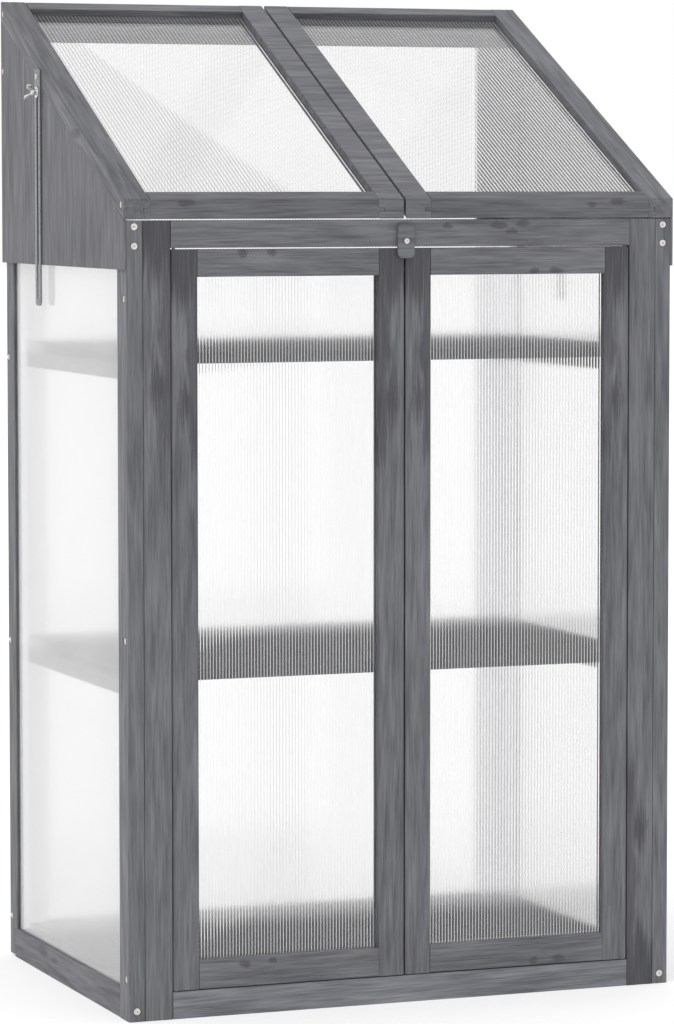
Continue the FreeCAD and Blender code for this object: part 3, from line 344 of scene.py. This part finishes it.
def wood_material(name, way, number, groups, stain):
    """Wood for one piece, with its own stretch of grain."""
    grain, spot, soaked_end = groups
    tone = TONES.get(name, 1.0)
    light, dark = Vector(stain.light) * tone, Vector(stain.dark) * tone
    material, tree, shader = new_material(f"wood_{name}", light)
    place = add(tree, "ShaderNodeTexCoord").outputs["Object"]
    spin = number * GRAIN_SPIN
    own = (GRAIN_ASIDE * math.cos(spin), GRAIN_ASIDE * math.sin(spin), GRAIN_ALONG * number)
    turned = add(tree, "ShaderNodeMapping", {"Vector": place, "Rotation": GRAIN_TURNS[way]})
    moved = add(tree, "ShaderNodeMapping", {"Vector": turned.outputs[0], "Location": own,
                                            "Rotation": (GRAIN_LEAN * math.cos(spin * 3),
                                                         GRAIN_LEAN * math.sin(spin * 3), 0)})
    wavy = add(tree, "ShaderNodeTexNoise", {"Vector": place, "Scale": 110.0, "Detail": 3.0})
    wave = vector_maths(tree, "MULTIPLY_ADD", wavy.outputs["Color"], (0.012, 0.0, 0.008), place)
    bent = vector_maths(tree, "SUBTRACT", wave.outputs[0], (0.006, 0.0, 0.004)).outputs[0]
    mask = 0.0
    if name in SOAKED_ENDS:
        top, right = SOAKED_ENDS[name]
        low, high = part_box(name)
        scale = Vector(((1 if right else -1) / (high.x - low.x), 1,
                        (-1 if top else 1) / (high.z - low.z)))
        start = Vector((low.x if right else high.x, 0, high.z if top else low.z))
        along = add(tree, "ShaderNodeMapping", {"Vector": place, "Location": -start * scale,
                                                "Scale": scale})
        made = add(tree, "ShaderNodeGroup", {"Vector": along.outputs[0]}, node_tree=soaked_end)
        mask = made.outputs["Mask"]
    for centre, reach in SPOTS.get(name, []):
        made = add(tree, "ShaderNodeGroup", {
            "Vector": bent, "Centre": Vector(centre) * MM, "Reach": Vector(reach) * MM,
            "Strength": SPOT_STRENGTH, "Over": mask}, node_tree=spot)
        mask = made.outputs["Mask"]
    made = add(tree, "ShaderNodeGroup", {
        "Vector": moved.outputs[0], "Light": rgba(light), "Dark": rgba(dark),
        "Soaked": rgba(stain.soaked), "Soak": mask}, node_tree=grain)
    colour = made.outputs["Color"]
    # Painted light: inner faces painted pale and made to glow, standing in for the light that they catch
    # inside the cabinet.
    if name in PAINTED_LIGHT_PIECES:
        low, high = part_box(name)
        inner = min(abs(low.x), abs(high.x))
        parts = add(tree, "ShaderNodeSeparateXYZ", {0: place}).outputs
        aside = maths(tree, "ABSOLUTE", parts["X"])
        faces = maths(tree, "MAXIMUM", span(tree, parts["Y"], low.y + 0.003, low.y + 0.001),
                      span(tree, aside, inner + 0.003, inner + 0.001))
        share = maths(tree, "MULTIPLY", faces, span(tree, aside, SIDE_PANE, SIDE_PANE - 0.001))
        share = maths(tree, "MULTIPLY", share, span(tree, parts["Z"], PAINTED_LIGHT_TOP + 0.02, PAINTED_LIGHT_TOP))
        colour = mix_colour(tree, share, colour, rgba(Vector(stain.painted_light) * PAINTED_LIGHT_GAIN))
        glow = mix_colour(tree, share, rgba((0, 0, 0)), rgba(stain.painted_light))
        tree.links.new(glow, shader.inputs["Emission Color"])
        shader.inputs["Emission Strength"].default_value = PAINTED_LIGHT_GLOW
    tree.links.new(colour, shader.inputs["Base Color"])
    tree.links.new(made.outputs["Roughness"], shader.inputs["Roughness"])
    bump = add(tree, "ShaderNodeBump", {"Height": made.outputs["Height"], "Distance": 0.00015,
                                        "Strength": 0.5})
    tree.links.new(bump.outputs[0], shader.inputs["Normal"])
    return material


def board_material(name, number, grain, stain):
    """Wood of a shelf, with painted light towards its back for the bright back pane that lights it and
    shows in it.
    """
    material, tree, shader = new_material(f"wood_{name}", stain.inner, Roughness=0.75,
                                          Specular_IOR_Level=0.12)
    place = add(tree, "ShaderNodeTexCoord").outputs["Object"]
    turned = add(tree, "ShaderNodeMapping", {"Vector": place, "Rotation": GRAIN_TURNS["x"]})
    moved = add(tree, "ShaderNodeMapping", {"Vector": turned.outputs[0],
                                            "Location": (0.1 * number, 0.07 * number, 0)})
    made = add(tree, "ShaderNodeGroup", {
        "Vector": moved.outputs[0], "Light": rgba(stain.inner),
        "Dark": rgba(Vector(stain.inner) * 0.55)}, node_tree=grain)
    # Painted light: paler towards the back, where the bright back pane lights the shelf and shows in it.
    depth = add(tree, "ShaderNodeSeparateXYZ", {0: place}).outputs["Y"]
    share = span(tree, depth, BOARD_PAINTED_LIGHT_FROM, BOARD_PAINTED_LIGHT_TO)
    painted_light = mix_colour(tree, share, made.outputs["Color"], rgba(stain.painted_light))
    tree.links.new(painted_light, shader.inputs["Base Color"])
    return material


def dress(name, material):
    """Gives a CAD node one material."""
    mesh = NODES[name].data
    mesh.materials.clear()
    mesh.materials.append(material)


class GREENHOUSE_OT_stain_wood(bpy.types.Operator):
    """Stain every batten, panel and board, each with its own stretch of grain"""
    bl_idname = "greenhouse.stain_wood"
    bl_label = "Stain the wood"

    def execute(self, context):
        stain = context.scene.greenhouse_stain
        spot = spot_group()
        groups = grain_group(), spot, soaked_end_group(spot)
        number = 0
        for way, names in GRAIN.items():
            for name in names:
                number += 1
                dress(name, wood_material(name, way, number, groups, stain))
        for name in BOARDS:
            number += 1
            dress(name, board_material(name, number, groups[0], stain))
        button = wood_material("turn_button", "x", number + 1, groups, stain)
        finish("turn_button", "turn_button", button, ROUNDING["turn_button"])
        return {"FINISHED"}


# Glazing

def set_input(modifier, label, value):
    """Sets a Geometry Nodes input by its socket's identifier."""
    for item in modifier.node_group.interface.items_tree:
        if item.item_type == "SOCKET" and item.in_out == "INPUT" and item.name == label:
            modifier[item.identifier] = value
            return
    raise KeyError(label)


def grown(name, tree, inputs, start=None):
    """The plain mesh that a Geometry Nodes tree makes from its inputs."""
    base = start or bpy.data.meshes.new(f"{name}_start")
    maker = bpy.data.objects.new(f"{name}_maker", base)
    bpy.context.scene.collection.objects.link(maker)
    modifier = maker.modifiers.new("Maker", "NODES")
    modifier.node_group = tree
    for label, value in inputs.items():
        set_input(modifier, label, value)
    graph = bpy.context.evaluated_depsgraph_get()
    mesh = bpy.data.meshes.new_from_object(maker.evaluated_get(graph), depsgraph=graph)
    mesh.name = name
    bpy.data.objects.remove(maker)
    bpy.data.meshes.remove(base)
    if not mesh.polygons:
        raise ValueError(f"{name} came out empty")
    return mesh


def joined(name, meshes):
    """One mesh made of several that share their materials."""
    work = bmesh.new()
    for mesh in meshes:
        work.from_mesh(mesh)
    whole = bpy.data.meshes.new(name)
    work.to_mesh(whole)
    work.free()
    for material in meshes[0].materials:
        whole.materials.append(material)
    for mesh in meshes:
        bpy.data.meshes.remove(mesh)
    return whole


def shown(name, mesh):
    piece = bpy.data.objects.new(name, mesh)
    bpy.context.scene.collection.objects.link(piece)
    return piece


def smooth_by_angle(mesh, degrees=35):
    mesh.shade_smooth()
    mesh.set_sharp_from_angle(angle=math.radians(degrees))


def geometry_tree(name, inputs):
    tree = bpy.data.node_groups.new(name, "GeometryNodeTree")
    tree.interface.new_socket("Geometry", in_out="INPUT", socket_type="NodeSocketGeometry")
    for label, kind in inputs:
        tree.interface.new_socket(label, in_out="INPUT", socket_type=kind)
    tree.interface.new_socket("Geometry", in_out="OUTPUT", socket_type="NodeSocketGeometry")
    return tree, add(tree, "NodeGroupInput").outputs, add(tree, "NodeGroupOutput").inputs


def combine(tree, x=0.0, y=0.0, z=0.0):
    return add(tree, "ShaderNodeCombineXYZ", {"X": x, "Y": y, "Z": z}).outputs[0]


def ribbed_sheet_tree():
    """A ribbed sheet: a clear slab, and a web inside it at every rib."""
    tree, given, out = geometry_tree("RibbedSheet", [
        ("Width", "NodeSocketFloat"), ("Length", "NodeSocketFloat"),
        ("Thickness", "NodeSocketFloat"), ("Skin", "NodeSocketFloat"),
        ("Pitch", "NodeSocketFloat"), ("First Web", "NodeSocketFloat"),
        ("Web", "NodeSocketFloat"), ("Place", "NodeSocketVector"), ("Turn", "NodeSocketVector"),
        ("Skin Plastic", "NodeSocketMaterial"), ("Web Plastic", "NodeSocketMaterial")])
    deep = maths(tree, "SUBTRACT", given["Thickness"], given["Skin"])
    slab = add(tree, "GeometryNodeMeshCube", {
        "Size": combine(tree, given["Width"], given["Thickness"], given["Length"])})

    wall = add(tree, "GeometryNodeMeshCube", {
        "Size": combine(tree, given["Web"], deep, maths(tree, "MULTIPLY", given["Length"], 0.998))})
    marked = add(tree, "GeometryNodeStoreNamedAttribute",
                 {"Geometry": wall.outputs["Mesh"], "Name": "is_web", "Value": True},
                 data_type="BOOLEAN", domain="FACE")
    room = maths(tree, "SUBTRACT", given["Width"], given["First Web"])
    count = maths(tree, "CEIL", maths(tree, "DIVIDE", room, given["Pitch"]))
    first = maths(tree, "MULTIPLY_ADD", given["Width"], -0.5, given["First Web"])
    line = add(tree, "GeometryNodeMeshLine", {
        "Count": count, "Start Location": combine(tree, first),
        "Offset": combine(tree, given["Pitch"])})
    webs = add(tree, "GeometryNodeInstanceOnPoints", {"Points": line.outputs["Mesh"],
                                                      "Instance": marked.outputs["Geometry"]})
    both = add(tree, "GeometryNodeJoinGeometry")
    tree.links.new(webs.outputs["Instances"], both.inputs[0])
    tree.links.new(slab.outputs["Mesh"], both.inputs[0])
    put = add(tree, "GeometryNodeTransform", {"Geometry": both.outputs[0],
                                              "Translation": given["Place"],
                                              "Rotation": given["Turn"]})
    real = add(tree, "GeometryNodeRealizeInstances", {"Geometry": put.outputs[0]})
    skinned = add(tree, "GeometryNodeSetMaterial", {"Geometry": real.outputs[0],
                                                    "Material": given["Skin Plastic"]})
    webbed = add(tree, "GeometryNodeInputNamedAttribute", {"Name": "is_web"}, data_type="BOOLEAN")
    finished = add(tree, "GeometryNodeSetMaterial", {
        "Geometry": skinned.outputs[0], "Selection": webbed.outputs["Attribute"],
        "Material": given["Web Plastic"]})
    tree.links.new(finished.outputs[0], out["Geometry"])
    return tree


# The share of the light that a layer of plastic lets pass.
PASSED = (0.97, 0.97, 0.97)


def let_light_through(tree, shader):
    """Lamps and the light between other pieces pass straight through a plastic."""
    path = add(tree, "ShaderNodeLightPath").outputs
    through = maths(tree, "MAXIMUM", path["Is Shadow Ray"], path["Is Diffuse Ray"])
    clear = add(tree, "ShaderNodeBsdfTransparent", {"Color": rgba(PASSED)})
    both = add(tree, "ShaderNodeMixShader", {0: through, 1: shader.outputs[0],
                                             2: clear.outputs[0]})
    tree.links.new(both.outputs[0], tree.nodes["Material Output"].inputs["Surface"])


def skin_material(name, haze, glazing):
    """Clear plastic of a pane's slab, slightly dusty."""
    material, tree, shader = new_material(name, glazing.tint, Roughness=haze, IOR=1.45,
                                          Transmission_Weight=1.0)
    place = add(tree, "ShaderNodeTexCoord").outputs["Object"]
    dust = add(tree, "ShaderNodeTexNoise", {"Vector": place, "Scale": 20.0, "Detail": 2.0})
    dusty = mix_colour(tree, 1.0, rgba(glazing.tint), rgba((0.996, 0.996, 0.995)), "MULTIPLY")
    tree.links.new(mix_colour(tree, span(tree, dust.outputs["Fac"], 0.4, 0.7), rgba(glazing.tint),
                              dusty), shader.inputs["Base Color"])
    let_light_through(tree, shader)
    return material


def web_material(glazing):
    """Webs that mirror what is beside them. Their glow stands for light spread in the plastic."""
    material, tree, shader = new_material("glazing_web", (0.68, 0.68, 0.68),
                                          Roughness=glazing.blur, Metallic=1.0,
                                          Emission_Color=(1, 1, 1, 1), Emission_Strength=0.25)
    place = add(tree, "ShaderNodeTexCoord").outputs["Object"]
    flow = streak_noise(tree, place, 90.0, 3.0)
    tree.links.new(mix_colour(tree, flow, rgba((0.67, 0.67, 0.67)), rgba((0.70, 0.70, 0.70))),
                   shader.inputs["Base Color"])
    let_light_through(tree, shader)
    return material


def milky_material():
    """Webs of the side panes, which spread the light. They glow a little for the same reason."""
    material, tree, shader = new_material("glazing_milky_web", (0.85, 0.85, 0.85), Roughness=0.6,
                                          Emission_Color=(1, 1, 1, 1), Emission_Strength=0.15)
    place = add(tree, "ShaderNodeTexCoord").outputs["Object"]
    flow = streak_noise(tree, place, 60.0, 4.0)
    tree.links.new(mix_colour(tree, flow, rgba((0.84, 0.84, 0.845)), rgba((0.87, 0.87, 0.87))),
                   shader.inputs["Base Color"])
    let_light_through(tree, shader)
    return material


def pane_shape(name):
    """Centre, width, thickness, length and turn of a flat pane, from its CAD box."""
    low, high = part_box(name)
    centre, size = (low + high) / 2, high - low
    if "lid" in name:
        up, over = math.sin(LID_PITCH), math.cos(LID_PITCH)
        length = (size.y * over - size.z * up) / (over * over - up * up)
        thick = (size.y - length * over) / up
        return centre, size.x, thick, length, (LID_PITCH - math.pi / 2, 0, 0)
    if "side" in name:
        return centre, size.y, size.x, size.z, (0, 0, math.pi / 2)
    return centre, size.x, size.y, size.z, (0, 0, 0)


# The body that each pane rides.
PANES = {"left_side_pane": "root", "right_side_pane": "root", "back_pane": "root",
         "left_door_pane": "left_door", "right_door_pane": "right_door",
         "left_lid_pane": "left_lid", "right_lid_pane": "right_lid"}

# How far the first web of a pane is from its edge.
FIRST_WEB = 0.0020


class GREENHOUSE_OT_glaze(bpy.types.Operator):
    """Cut a ribbed twin-wall sheet for every opening"""
    bl_idname = "greenhouse.glaze"
    bl_label = "Glaze the openings"

    def execute(self, context):
        glazing = context.scene.greenhouse_glazing
        tree = ribbed_sheet_tree()
        skin = skin_material("glazing_skin", glazing.haze, glazing)
        lid_skin = skin_material("glazing_lid_skin", glazing.lid_haze, glazing)
        web, milky = web_material(glazing), milky_material()
        for node, body in PANES.items():
            centre, width, thick, length, turn = pane_shape(node)
            side = "side" in node
            mesh = grown(f"{node}_sheet", tree, {
                "Width": width, "Length": length, "Thickness": thick,
                "Skin": glazing.side_skin if side else glazing.skin,
                "Pitch": glazing.lid_pitch if "lid" in node else glazing.pitch,
                "First Web": FIRST_WEB, "Web": glazing.web, "Place": centre, "Turn": turn,
                "Skin Plastic": lid_skin if "lid" in node else skin,
                "Web Plastic": milky if side else web})
            piece = shown(f"{node}_sheet", mesh)
            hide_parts(node)
            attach(piece, body)
        return {"FINISHED"}


# Metal

def plating_group():
    """Worn plating: a mottle that dulls it, and fine scratches. It is made once."""
    made = bpy.data.node_groups.get("WornPlating")
    if made:
        return made
    group, given, out = new_group(
        "WornPlating", [("Vector", "NodeSocketVector", None), ("Color", "NodeSocketColor", None),
                        ("Roughness", "NodeSocketFloat", 0.3)],
        [("Color", "NodeSocketColor"), ("Roughness", "NodeSocketFloat"),
         ("Height", "NodeSocketFloat")])
    mottle = add(group, "ShaderNodeTexNoise", {"Vector": given["Vector"], "Scale": 320.0,
                                               "Detail": 4.0})
    scratch = streak_noise(group, given["Vector"], 2600.0, 160.0)
    worn = span(group, mottle.outputs["Fac"], 0.4, 0.7)
    dull = mix_colour(group, 1.0, given["Color"], rgba((0.78, 0.77, 0.76)), "MULTIPLY")
    group.links.new(mix_colour(group, worn, given["Color"], dull), out["Color"])
    group.links.new(maths(group, "MULTIPLY_ADD", worn, 0.14, given["Roughness"]),
                    out["Roughness"])
    group.links.new(scratch, out["Height"])
    return group


def metal_material(name, colour, roughness, group):
    material, tree, shader = new_material(name, colour, Metallic=1.0, Roughness=roughness)
    place = add(tree, "ShaderNodeTexCoord").outputs["Object"]
    worn = add(tree, "ShaderNodeGroup", {"Vector": place, "Color": rgba(colour),
                                         "Roughness": roughness}, node_tree=group)
    tree.links.new(worn.outputs["Color"], shader.inputs["Base Color"])
    tree.links.new(worn.outputs["Roughness"], shader.inputs["Roughness"])
    bump = add(tree, "ShaderNodeBump", {"Height": worn.outputs["Height"], "Distance": 0.00005,
                                        "Strength": 0.3})
    tree.links.new(bump.outputs[0], shader.inputs["Normal"])
    return material


def screw_tree():
    """Flat screw heads with a cross recess, one on each point, turned along its aim."""
    tree, given, out = geometry_tree("FlatScrews", [
        ("Camber", "NodeSocketFloat"), ("Recess", "NodeSocketFloat"),
        ("Head", "NodeSocketMaterial")])
    head = add(tree, "GeometryNodeMeshCylinder", {"Vertices": 32, "Side Segments": 1,
                                                  "Fill Segments": 5, "Radius": 1.0,
                                                  "Depth": 0.5}, fill_type="TRIANGLE_FAN")
    spot = add(tree, "GeometryNodeInputPosition").outputs[0]
    parts = add(tree, "ShaderNodeSeparateXYZ", {0: spot}).outputs
    square = maths(tree, "MULTIPLY_ADD", parts["X"], parts["X"],
                   maths(tree, "MULTIPLY", parts["Y"], parts["Y"]))
    fall = maths(tree, "MULTIPLY", maths(tree, "MULTIPLY", square, square), given["Camber"])
    fall = maths(tree, "MULTIPLY", fall, maths(tree, "GREATER_THAN", parts["Z"], 0.0))
    cambered = add(tree, "GeometryNodeSetPosition", {
        "Geometry": head.outputs["Mesh"],
        "Offset": combine(tree, 0.0, 0.0, maths(tree, "SUBTRACT", -0.25, fall))})
    cut = add(tree, "GeometryNodeMeshBoolean", {0: cambered.outputs[0]}, operation="DIFFERENCE")
    for turn in (0.0, math.pi / 2):
        bar = add(tree, "GeometryNodeMeshCube", {"Size": (0.95, 0.15, 0.4)})
        raised = add(tree, "GeometryNodeTransform", {
            "Geometry": bar.outputs["Mesh"], "Rotation": (0, 0, turn),
            "Translation": combine(tree, 0.0, 0.0, maths(tree, "SUBTRACT", 0.2,
                                                         given["Recess"]))})
        tree.links.new(raised.outputs[0], cut.inputs[1])
    aim = add(tree, "GeometryNodeInputNamedAttribute", {"Name": "aim"}, data_type="FLOAT_VECTOR")
    wide = add(tree, "GeometryNodeInputNamedAttribute", {"Name": "wide"}, data_type="FLOAT")
    spin = add(tree, "GeometryNodeInputNamedAttribute", {"Name": "spin"}, data_type="FLOAT")
    turn = add(tree, "FunctionNodeAlignRotationToVector", {"Vector": aim.outputs["Attribute"]},
               axis="Z")
    own = add(tree, "FunctionNodeAxisAngleToRotation", {"Axis": (0, 0, 1),
                                                        "Angle": spin.outputs["Attribute"]})
    both = add(tree, "FunctionNodeRotateRotation", {"Rotation": turn.outputs[0],
                                                    "Rotate By": own.outputs[0]},
               rotation_space="LOCAL")
    radius = wide.outputs["Attribute"]
    placed = add(tree, "GeometryNodeInstanceOnPoints", {
        "Points": given["Geometry"], "Instance": cut.outputs[0], "Rotation": both.outputs[0],
        "Scale": combine(tree, radius, radius, radius)})
    real = add(tree, "GeometryNodeRealizeInstances", {"Geometry": placed.outputs[0]})
    last = add(tree, "GeometryNodeSetMaterial", {"Geometry": real.outputs[0],
                                                 "Material": given["Head"]})
    tree.links.new(last.outputs[0], out["Geometry"])
    return tree


def solids_of(name):
    """The box of each separate solid in a CAD node."""
    work = bmesh.new()
    work.from_mesh(NODES[name].data)
    bmesh.ops.remove_doubles(work, verts=work.verts, dist=WELD)
    boxes, left = [], set(work.verts)
    while left:
        todo, island = [left.pop()], []
        while todo:
            vertex = todo.pop()
            island.append(vertex.co.copy())
            for edge in vertex.link_edges:
                other = edge.other_vert(vertex)
                if other in left:
                    left.discard(other)
                    todo.append(other)
        boxes.append((Vector([min(c[i] for c in island) for i in range(3)]),
                      Vector([max(c[i] for c in island) for i in range(3)])))
    work.free()
    return sorted(boxes, key=lambda b: tuple(round(c, 5) for c in (*b[0], *b[1])))


def screw_points(name, screws):
    """A mesh of points that carry the aim, the size and the spin of each screw."""
    mesh = bpy.data.meshes.new(name)
    mesh.from_pydata([place for place, _, _ in screws], [], [])
    for label, kind in (("aim", "FLOAT_VECTOR"), ("wide", "FLOAT"), ("spin", "FLOAT")):
        mesh.attributes.new(label, kind, "POINT")
    for index, (_, aim, radius) in enumerate(screws):
        mesh.attributes["aim"].data[index].vector = aim
        mesh.attributes["wide"].data[index].value = radius
        mesh.attributes["spin"].data[index].value = 0.7 + index * 1.9
    return mesh


def turned_mesh(profile, axis_from, aim):
    """A closed shape turned from (radius, height) points about a line along aim."""
    steps = 32
    work = bmesh.new()
    rings = []
    for radius, height in profile:
        if radius == 0:
            rings.append([work.verts.new((0, 0, height))])
        else:
            rings.append([work.verts.new((radius * math.cos(math.tau * i / steps),
                                          radius * math.sin(math.tau * i / steps), height))
                          for i in range(steps)])
    for lower, upper in zip(rings, rings[1:]):
        for i in range(steps):
            j = (i + 1) % steps
            corners = [lower[i % len(lower)], lower[j % len(lower)],
                       upper[j % len(upper)], upper[i % len(upper)]]
            work.faces.new(list(dict.fromkeys(corners)))
    bmesh.ops.recalc_face_normals(work, faces=work.faces)
    turn = Vector((0, 0, 1)).rotation_difference(aim).to_matrix().to_4x4()
    bmesh.ops.transform(work, matrix=Matrix.Translation(axis_from) @ turn, verts=work.verts)
    mesh = bpy.data.meshes.new("turned")
    work.to_mesh(mesh)
    work.free()
    return mesh


def bolt_profile(radius, long):
    """A bolt with its wide head at its inner end."""
    arris, head, shank = 0.0006, 0.0025, 0.0025
    return [(0, 0), (radius * 0.8, 0), (radius, arris), (radius, head), (shank, head),
            (shank, long), (0, long)]


def shank_profile(across, long):
    """A wood screw below its head, from the point to the countersink."""
    shank, sink, under_head = across * 0.22, across * 0.49, long - 0.0009
    return [(0, 0), (shank, 0.001), (shank, long - 0.003), (sink, long - 0.0012),
            (sink, under_head), (0, under_head)]


# Fasteners wider than this are bolts, and the others are wood screws.
BOLT_WIDE = 0.0105


class GREENHOUSE_OT_fasten(bpy.types.Operator):
    """Drive the wood screws and fit the stay pins and bolts"""
    bl_idname = "greenhouse.fasten"
    bl_label = "Drive the screws"

    def execute(self, context):
        metal = context.scene.greenhouse_metal
        plating = plating_group()
        head = metal_material("screw_plating", metal.screw, 0.32, plating)
        tree = screw_tree()
        for node, body in (("frame_fasteners", "root"), ("left_lid_screws", "left_lid"),
                           ("right_lid_screws", "right_lid")):
            screws, meshes = [], []
            for low, high in solids_of(node):
                size, middle = high - low, (low + high) / 2
                axis = 1 if abs(size.x - size.z) < 1e-4 else 0
                across, long = size[2], size[axis]
                outward = Vector((0, 0, 0))
                outward[axis] = -1 if axis == 1 else math.copysign(1, middle[axis])
                end = middle.copy()
                end[axis] = high[axis] if outward[axis] > 0 else low[axis]
                inner = end - outward * long
                if across > BOLT_WIDE:
                    meshes.append(turned_mesh(bolt_profile(across / 2, long), inner, outward))
                    continue
                screws.append((end, outward, across / 2))
                meshes.append(turned_mesh(shank_profile(across, long), inner, outward))
            for mesh in meshes:
                mesh.materials.append(head)
            name = f"{body}_screws"
            heads = grown(f"{name}_heads", tree,
                          {"Camber": 0.08, "Recess": 0.11, "Head": head},
                          screw_points(f"{name}_points", screws))
            whole = joined(name, [heads] + meshes)
            smooth_by_angle(whole)
            piece = shown(name, whole)
            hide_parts(node)
            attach(piece, body)
        return {"FINISHED"}


# How far the edges of the small parts are rounded.
ROUNDING = {"turn_button": 0.0007, "stay_arm": 0.0003, "stay_slider": 0.0002,
            "wing_nut": 0.0006, "lid_hinge_leaves": 0.0002}


def softened(node, width):
    """A copy of a CAD node with its edges rounded, as one clean mesh."""
    work = bmesh.new()
    work.from_mesh(NODES[node].data)
    bmesh.ops.remove_doubles(work, verts=work.verts, dist=WELD)
    bmesh.ops.dissolve_limit(work, angle_limit=math.radians(1), verts=work.verts,
                             edges=work.edges)
    mesh = bpy.data.meshes.new(f"{node}_plain")
    work.to_mesh(mesh)
    work.free()
    piece = shown(f"{node}_finished", mesh)
    bevel = piece.modifiers.new("Edges", "BEVEL")
    bevel.width = width
    bevel.segments = 3
    bevel.limit_method = "ANGLE"
    bevel.angle_limit = math.radians(40)
    graph = bpy.context.evaluated_depsgraph_get()
    final = bpy.data.meshes.new_from_object(piece.evaluated_get(graph), depsgraph=graph)
    piece.modifiers.clear()
    piece.data = final
    bpy.data.meshes.remove(mesh)
    final.name = f"{node}_finished"
    smooth_by_angle(final)
    return piece


def finish(node, body, material, width):
    """Puts a softened copy of a CAD node in its place."""
    piece = softened(node, width)
    piece.data.materials.clear()
    piece.data.materials.append(material)
    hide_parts(node)
    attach(piece, body)


class GREENHOUSE_OT_hardware(bpy.types.Operator):
    """Finish the stays, the wing nuts, the hinges and the door pins"""
    bl_idname = "greenhouse.hardware"
    bl_label = "Fit the stays and hinges"

    def execute(self, context):
        metal = context.scene.greenhouse_metal
        plating = plating_group()
        arm = metal_material("stay_plating", metal.stay, 0.42, plating)
        bright = metal_material("wing_nut_plating", metal.bright, 0.25, plating)
        hinge = metal_material("hinge_plating", metal.hinge, 0.40, plating)
        for side in ("left", "right"):
            for part, body, material, slot in (
                    ("stay_arm", "stay", arm, "stay_metal"),
                    ("stay_slider", "stay_slider", bright, "bright_metal"),
                    ("wing_nut", "wing_nut", bright, "bright_metal"),
                    ("lid_hinge_leaves", "lid", hinge, "hinge_metal")):
                finish(f"{side}_{part}", f"{side}_{body}", material, ROUNDING[part])
        dress("fixed_hinge_leaves", hinge)
        dress("door_pivot_pins", hinge)
        return {"FINISHED"}


# Stage

class GREENHOUSE_OT_stage(bpy.types.Operator):
    """Set the pale floor, the soft light and the camera"""
    bl_idname = "greenhouse.stage"
    bl_label = "Set the stage"

    def execute(self, context):
        scene = context.scene
        settings = scene.greenhouse_stage
        scene.view_settings.view_transform = "Standard"
        scene.view_settings.look = "None"
        world = bpy.data.worlds.new("Studio")
        world.use_nodes = True
        sky = world.node_tree.nodes["Background"]
        sky.inputs["Color"].default_value = (1, 1, 1, 1)
        sky.inputs["Strength"].default_value = settings.sky
        scene.world = world

        floor = bpy.data.meshes.new("floor")
        half = 40.0
        floor.from_pydata([(-half, -half, 0), (half, -half, 0), (half, half, 0), (-half, half, 0)],
                          [], [(0, 1, 2, 3)])
        piece = shown("floor", floor)
        material, _, _ = new_material("floor_paper", (0.55, 0.55, 0.55), Roughness=0.9,
                                      Emission_Color=(1, 1, 1, 1), Emission_Strength=0.45)
        floor.materials.append(material)

        lamp = bpy.data.lights.new("key", "SUN")
        lamp.energy = settings.key
        lamp.angle = math.radians(50)
        lamp.color = (1.0, 0.965, 0.965)
        key = bpy.data.objects.new("key", lamp)
        key.rotation_mode = "QUATERNION"
        key.rotation_quaternion = Vector((0.62, 0.30, -0.72)).to_track_quat("-Z", "Y")
        scene.collection.objects.link(key)

        # Fitted to the corners of the cabinet.
        camera = bpy.data.cameras.new("camera")
        camera.lens = 151.47
        camera.sensor_width = 36.0
        camera.shift_x = -0.0334
        camera.shift_y = -0.0221
        camera.clip_end = 200.0
        eye = bpy.data.objects.new("camera", camera)
        eye.location = (-1.90235, -4.98835, 0.9853)
        eye.rotation_euler = (math.pi / 2 - 0.072, 0, -0.3736)
        scene.collection.objects.link(eye)
        scene.camera = eye
        return {"FINISHED"}


class GREENHOUSE_PT_tools(bpy.types.Panel):
    """Lists the steps that dress the greenhouse"""
    bl_idname = "GREENHOUSE_PT_tools"
    bl_label = "Greenhouse"
    bl_space_type = "VIEW_3D"
    bl_region_type = "UI"
    bl_category = "Greenhouse"

    def draw(self, context):
        for step in STEPS:
            self.layout.operator(step.bl_idname)
        for name in SETTINGS:
            group = getattr(context.scene, name)
            for label in group.bl_rna.properties.keys():
                if label not in ("rna_type", "name"):
                    self.layout.prop(group, label)


STEPS = [GREENHOUSE_OT_stain_wood, GREENHOUSE_OT_glaze, GREENHOUSE_OT_fasten,
         GREENHOUSE_OT_hardware, GREENHOUSE_OT_stage]
CLASSES = [*SETTINGS.values(), *STEPS, GREENHOUSE_PT_tools]


def register():
    for item in CLASSES:
        bpy.utils.register_class(item)
    for name, kind in SETTINGS.items():
        setattr(bpy.types.Scene, name, PointerProperty(type=kind))


def unregister():
    for name in SETTINGS:
        delattr(bpy.types.Scene, name)
    for item in reversed(CLASSES):
        bpy.utils.unregister_class(item)


def main():
    register()
    for step in STEPS:
        family, action = step.bl_idname.split(".")
        getattr(getattr(bpy.ops, family), action)()


if __name__ == "__main__":
    main()
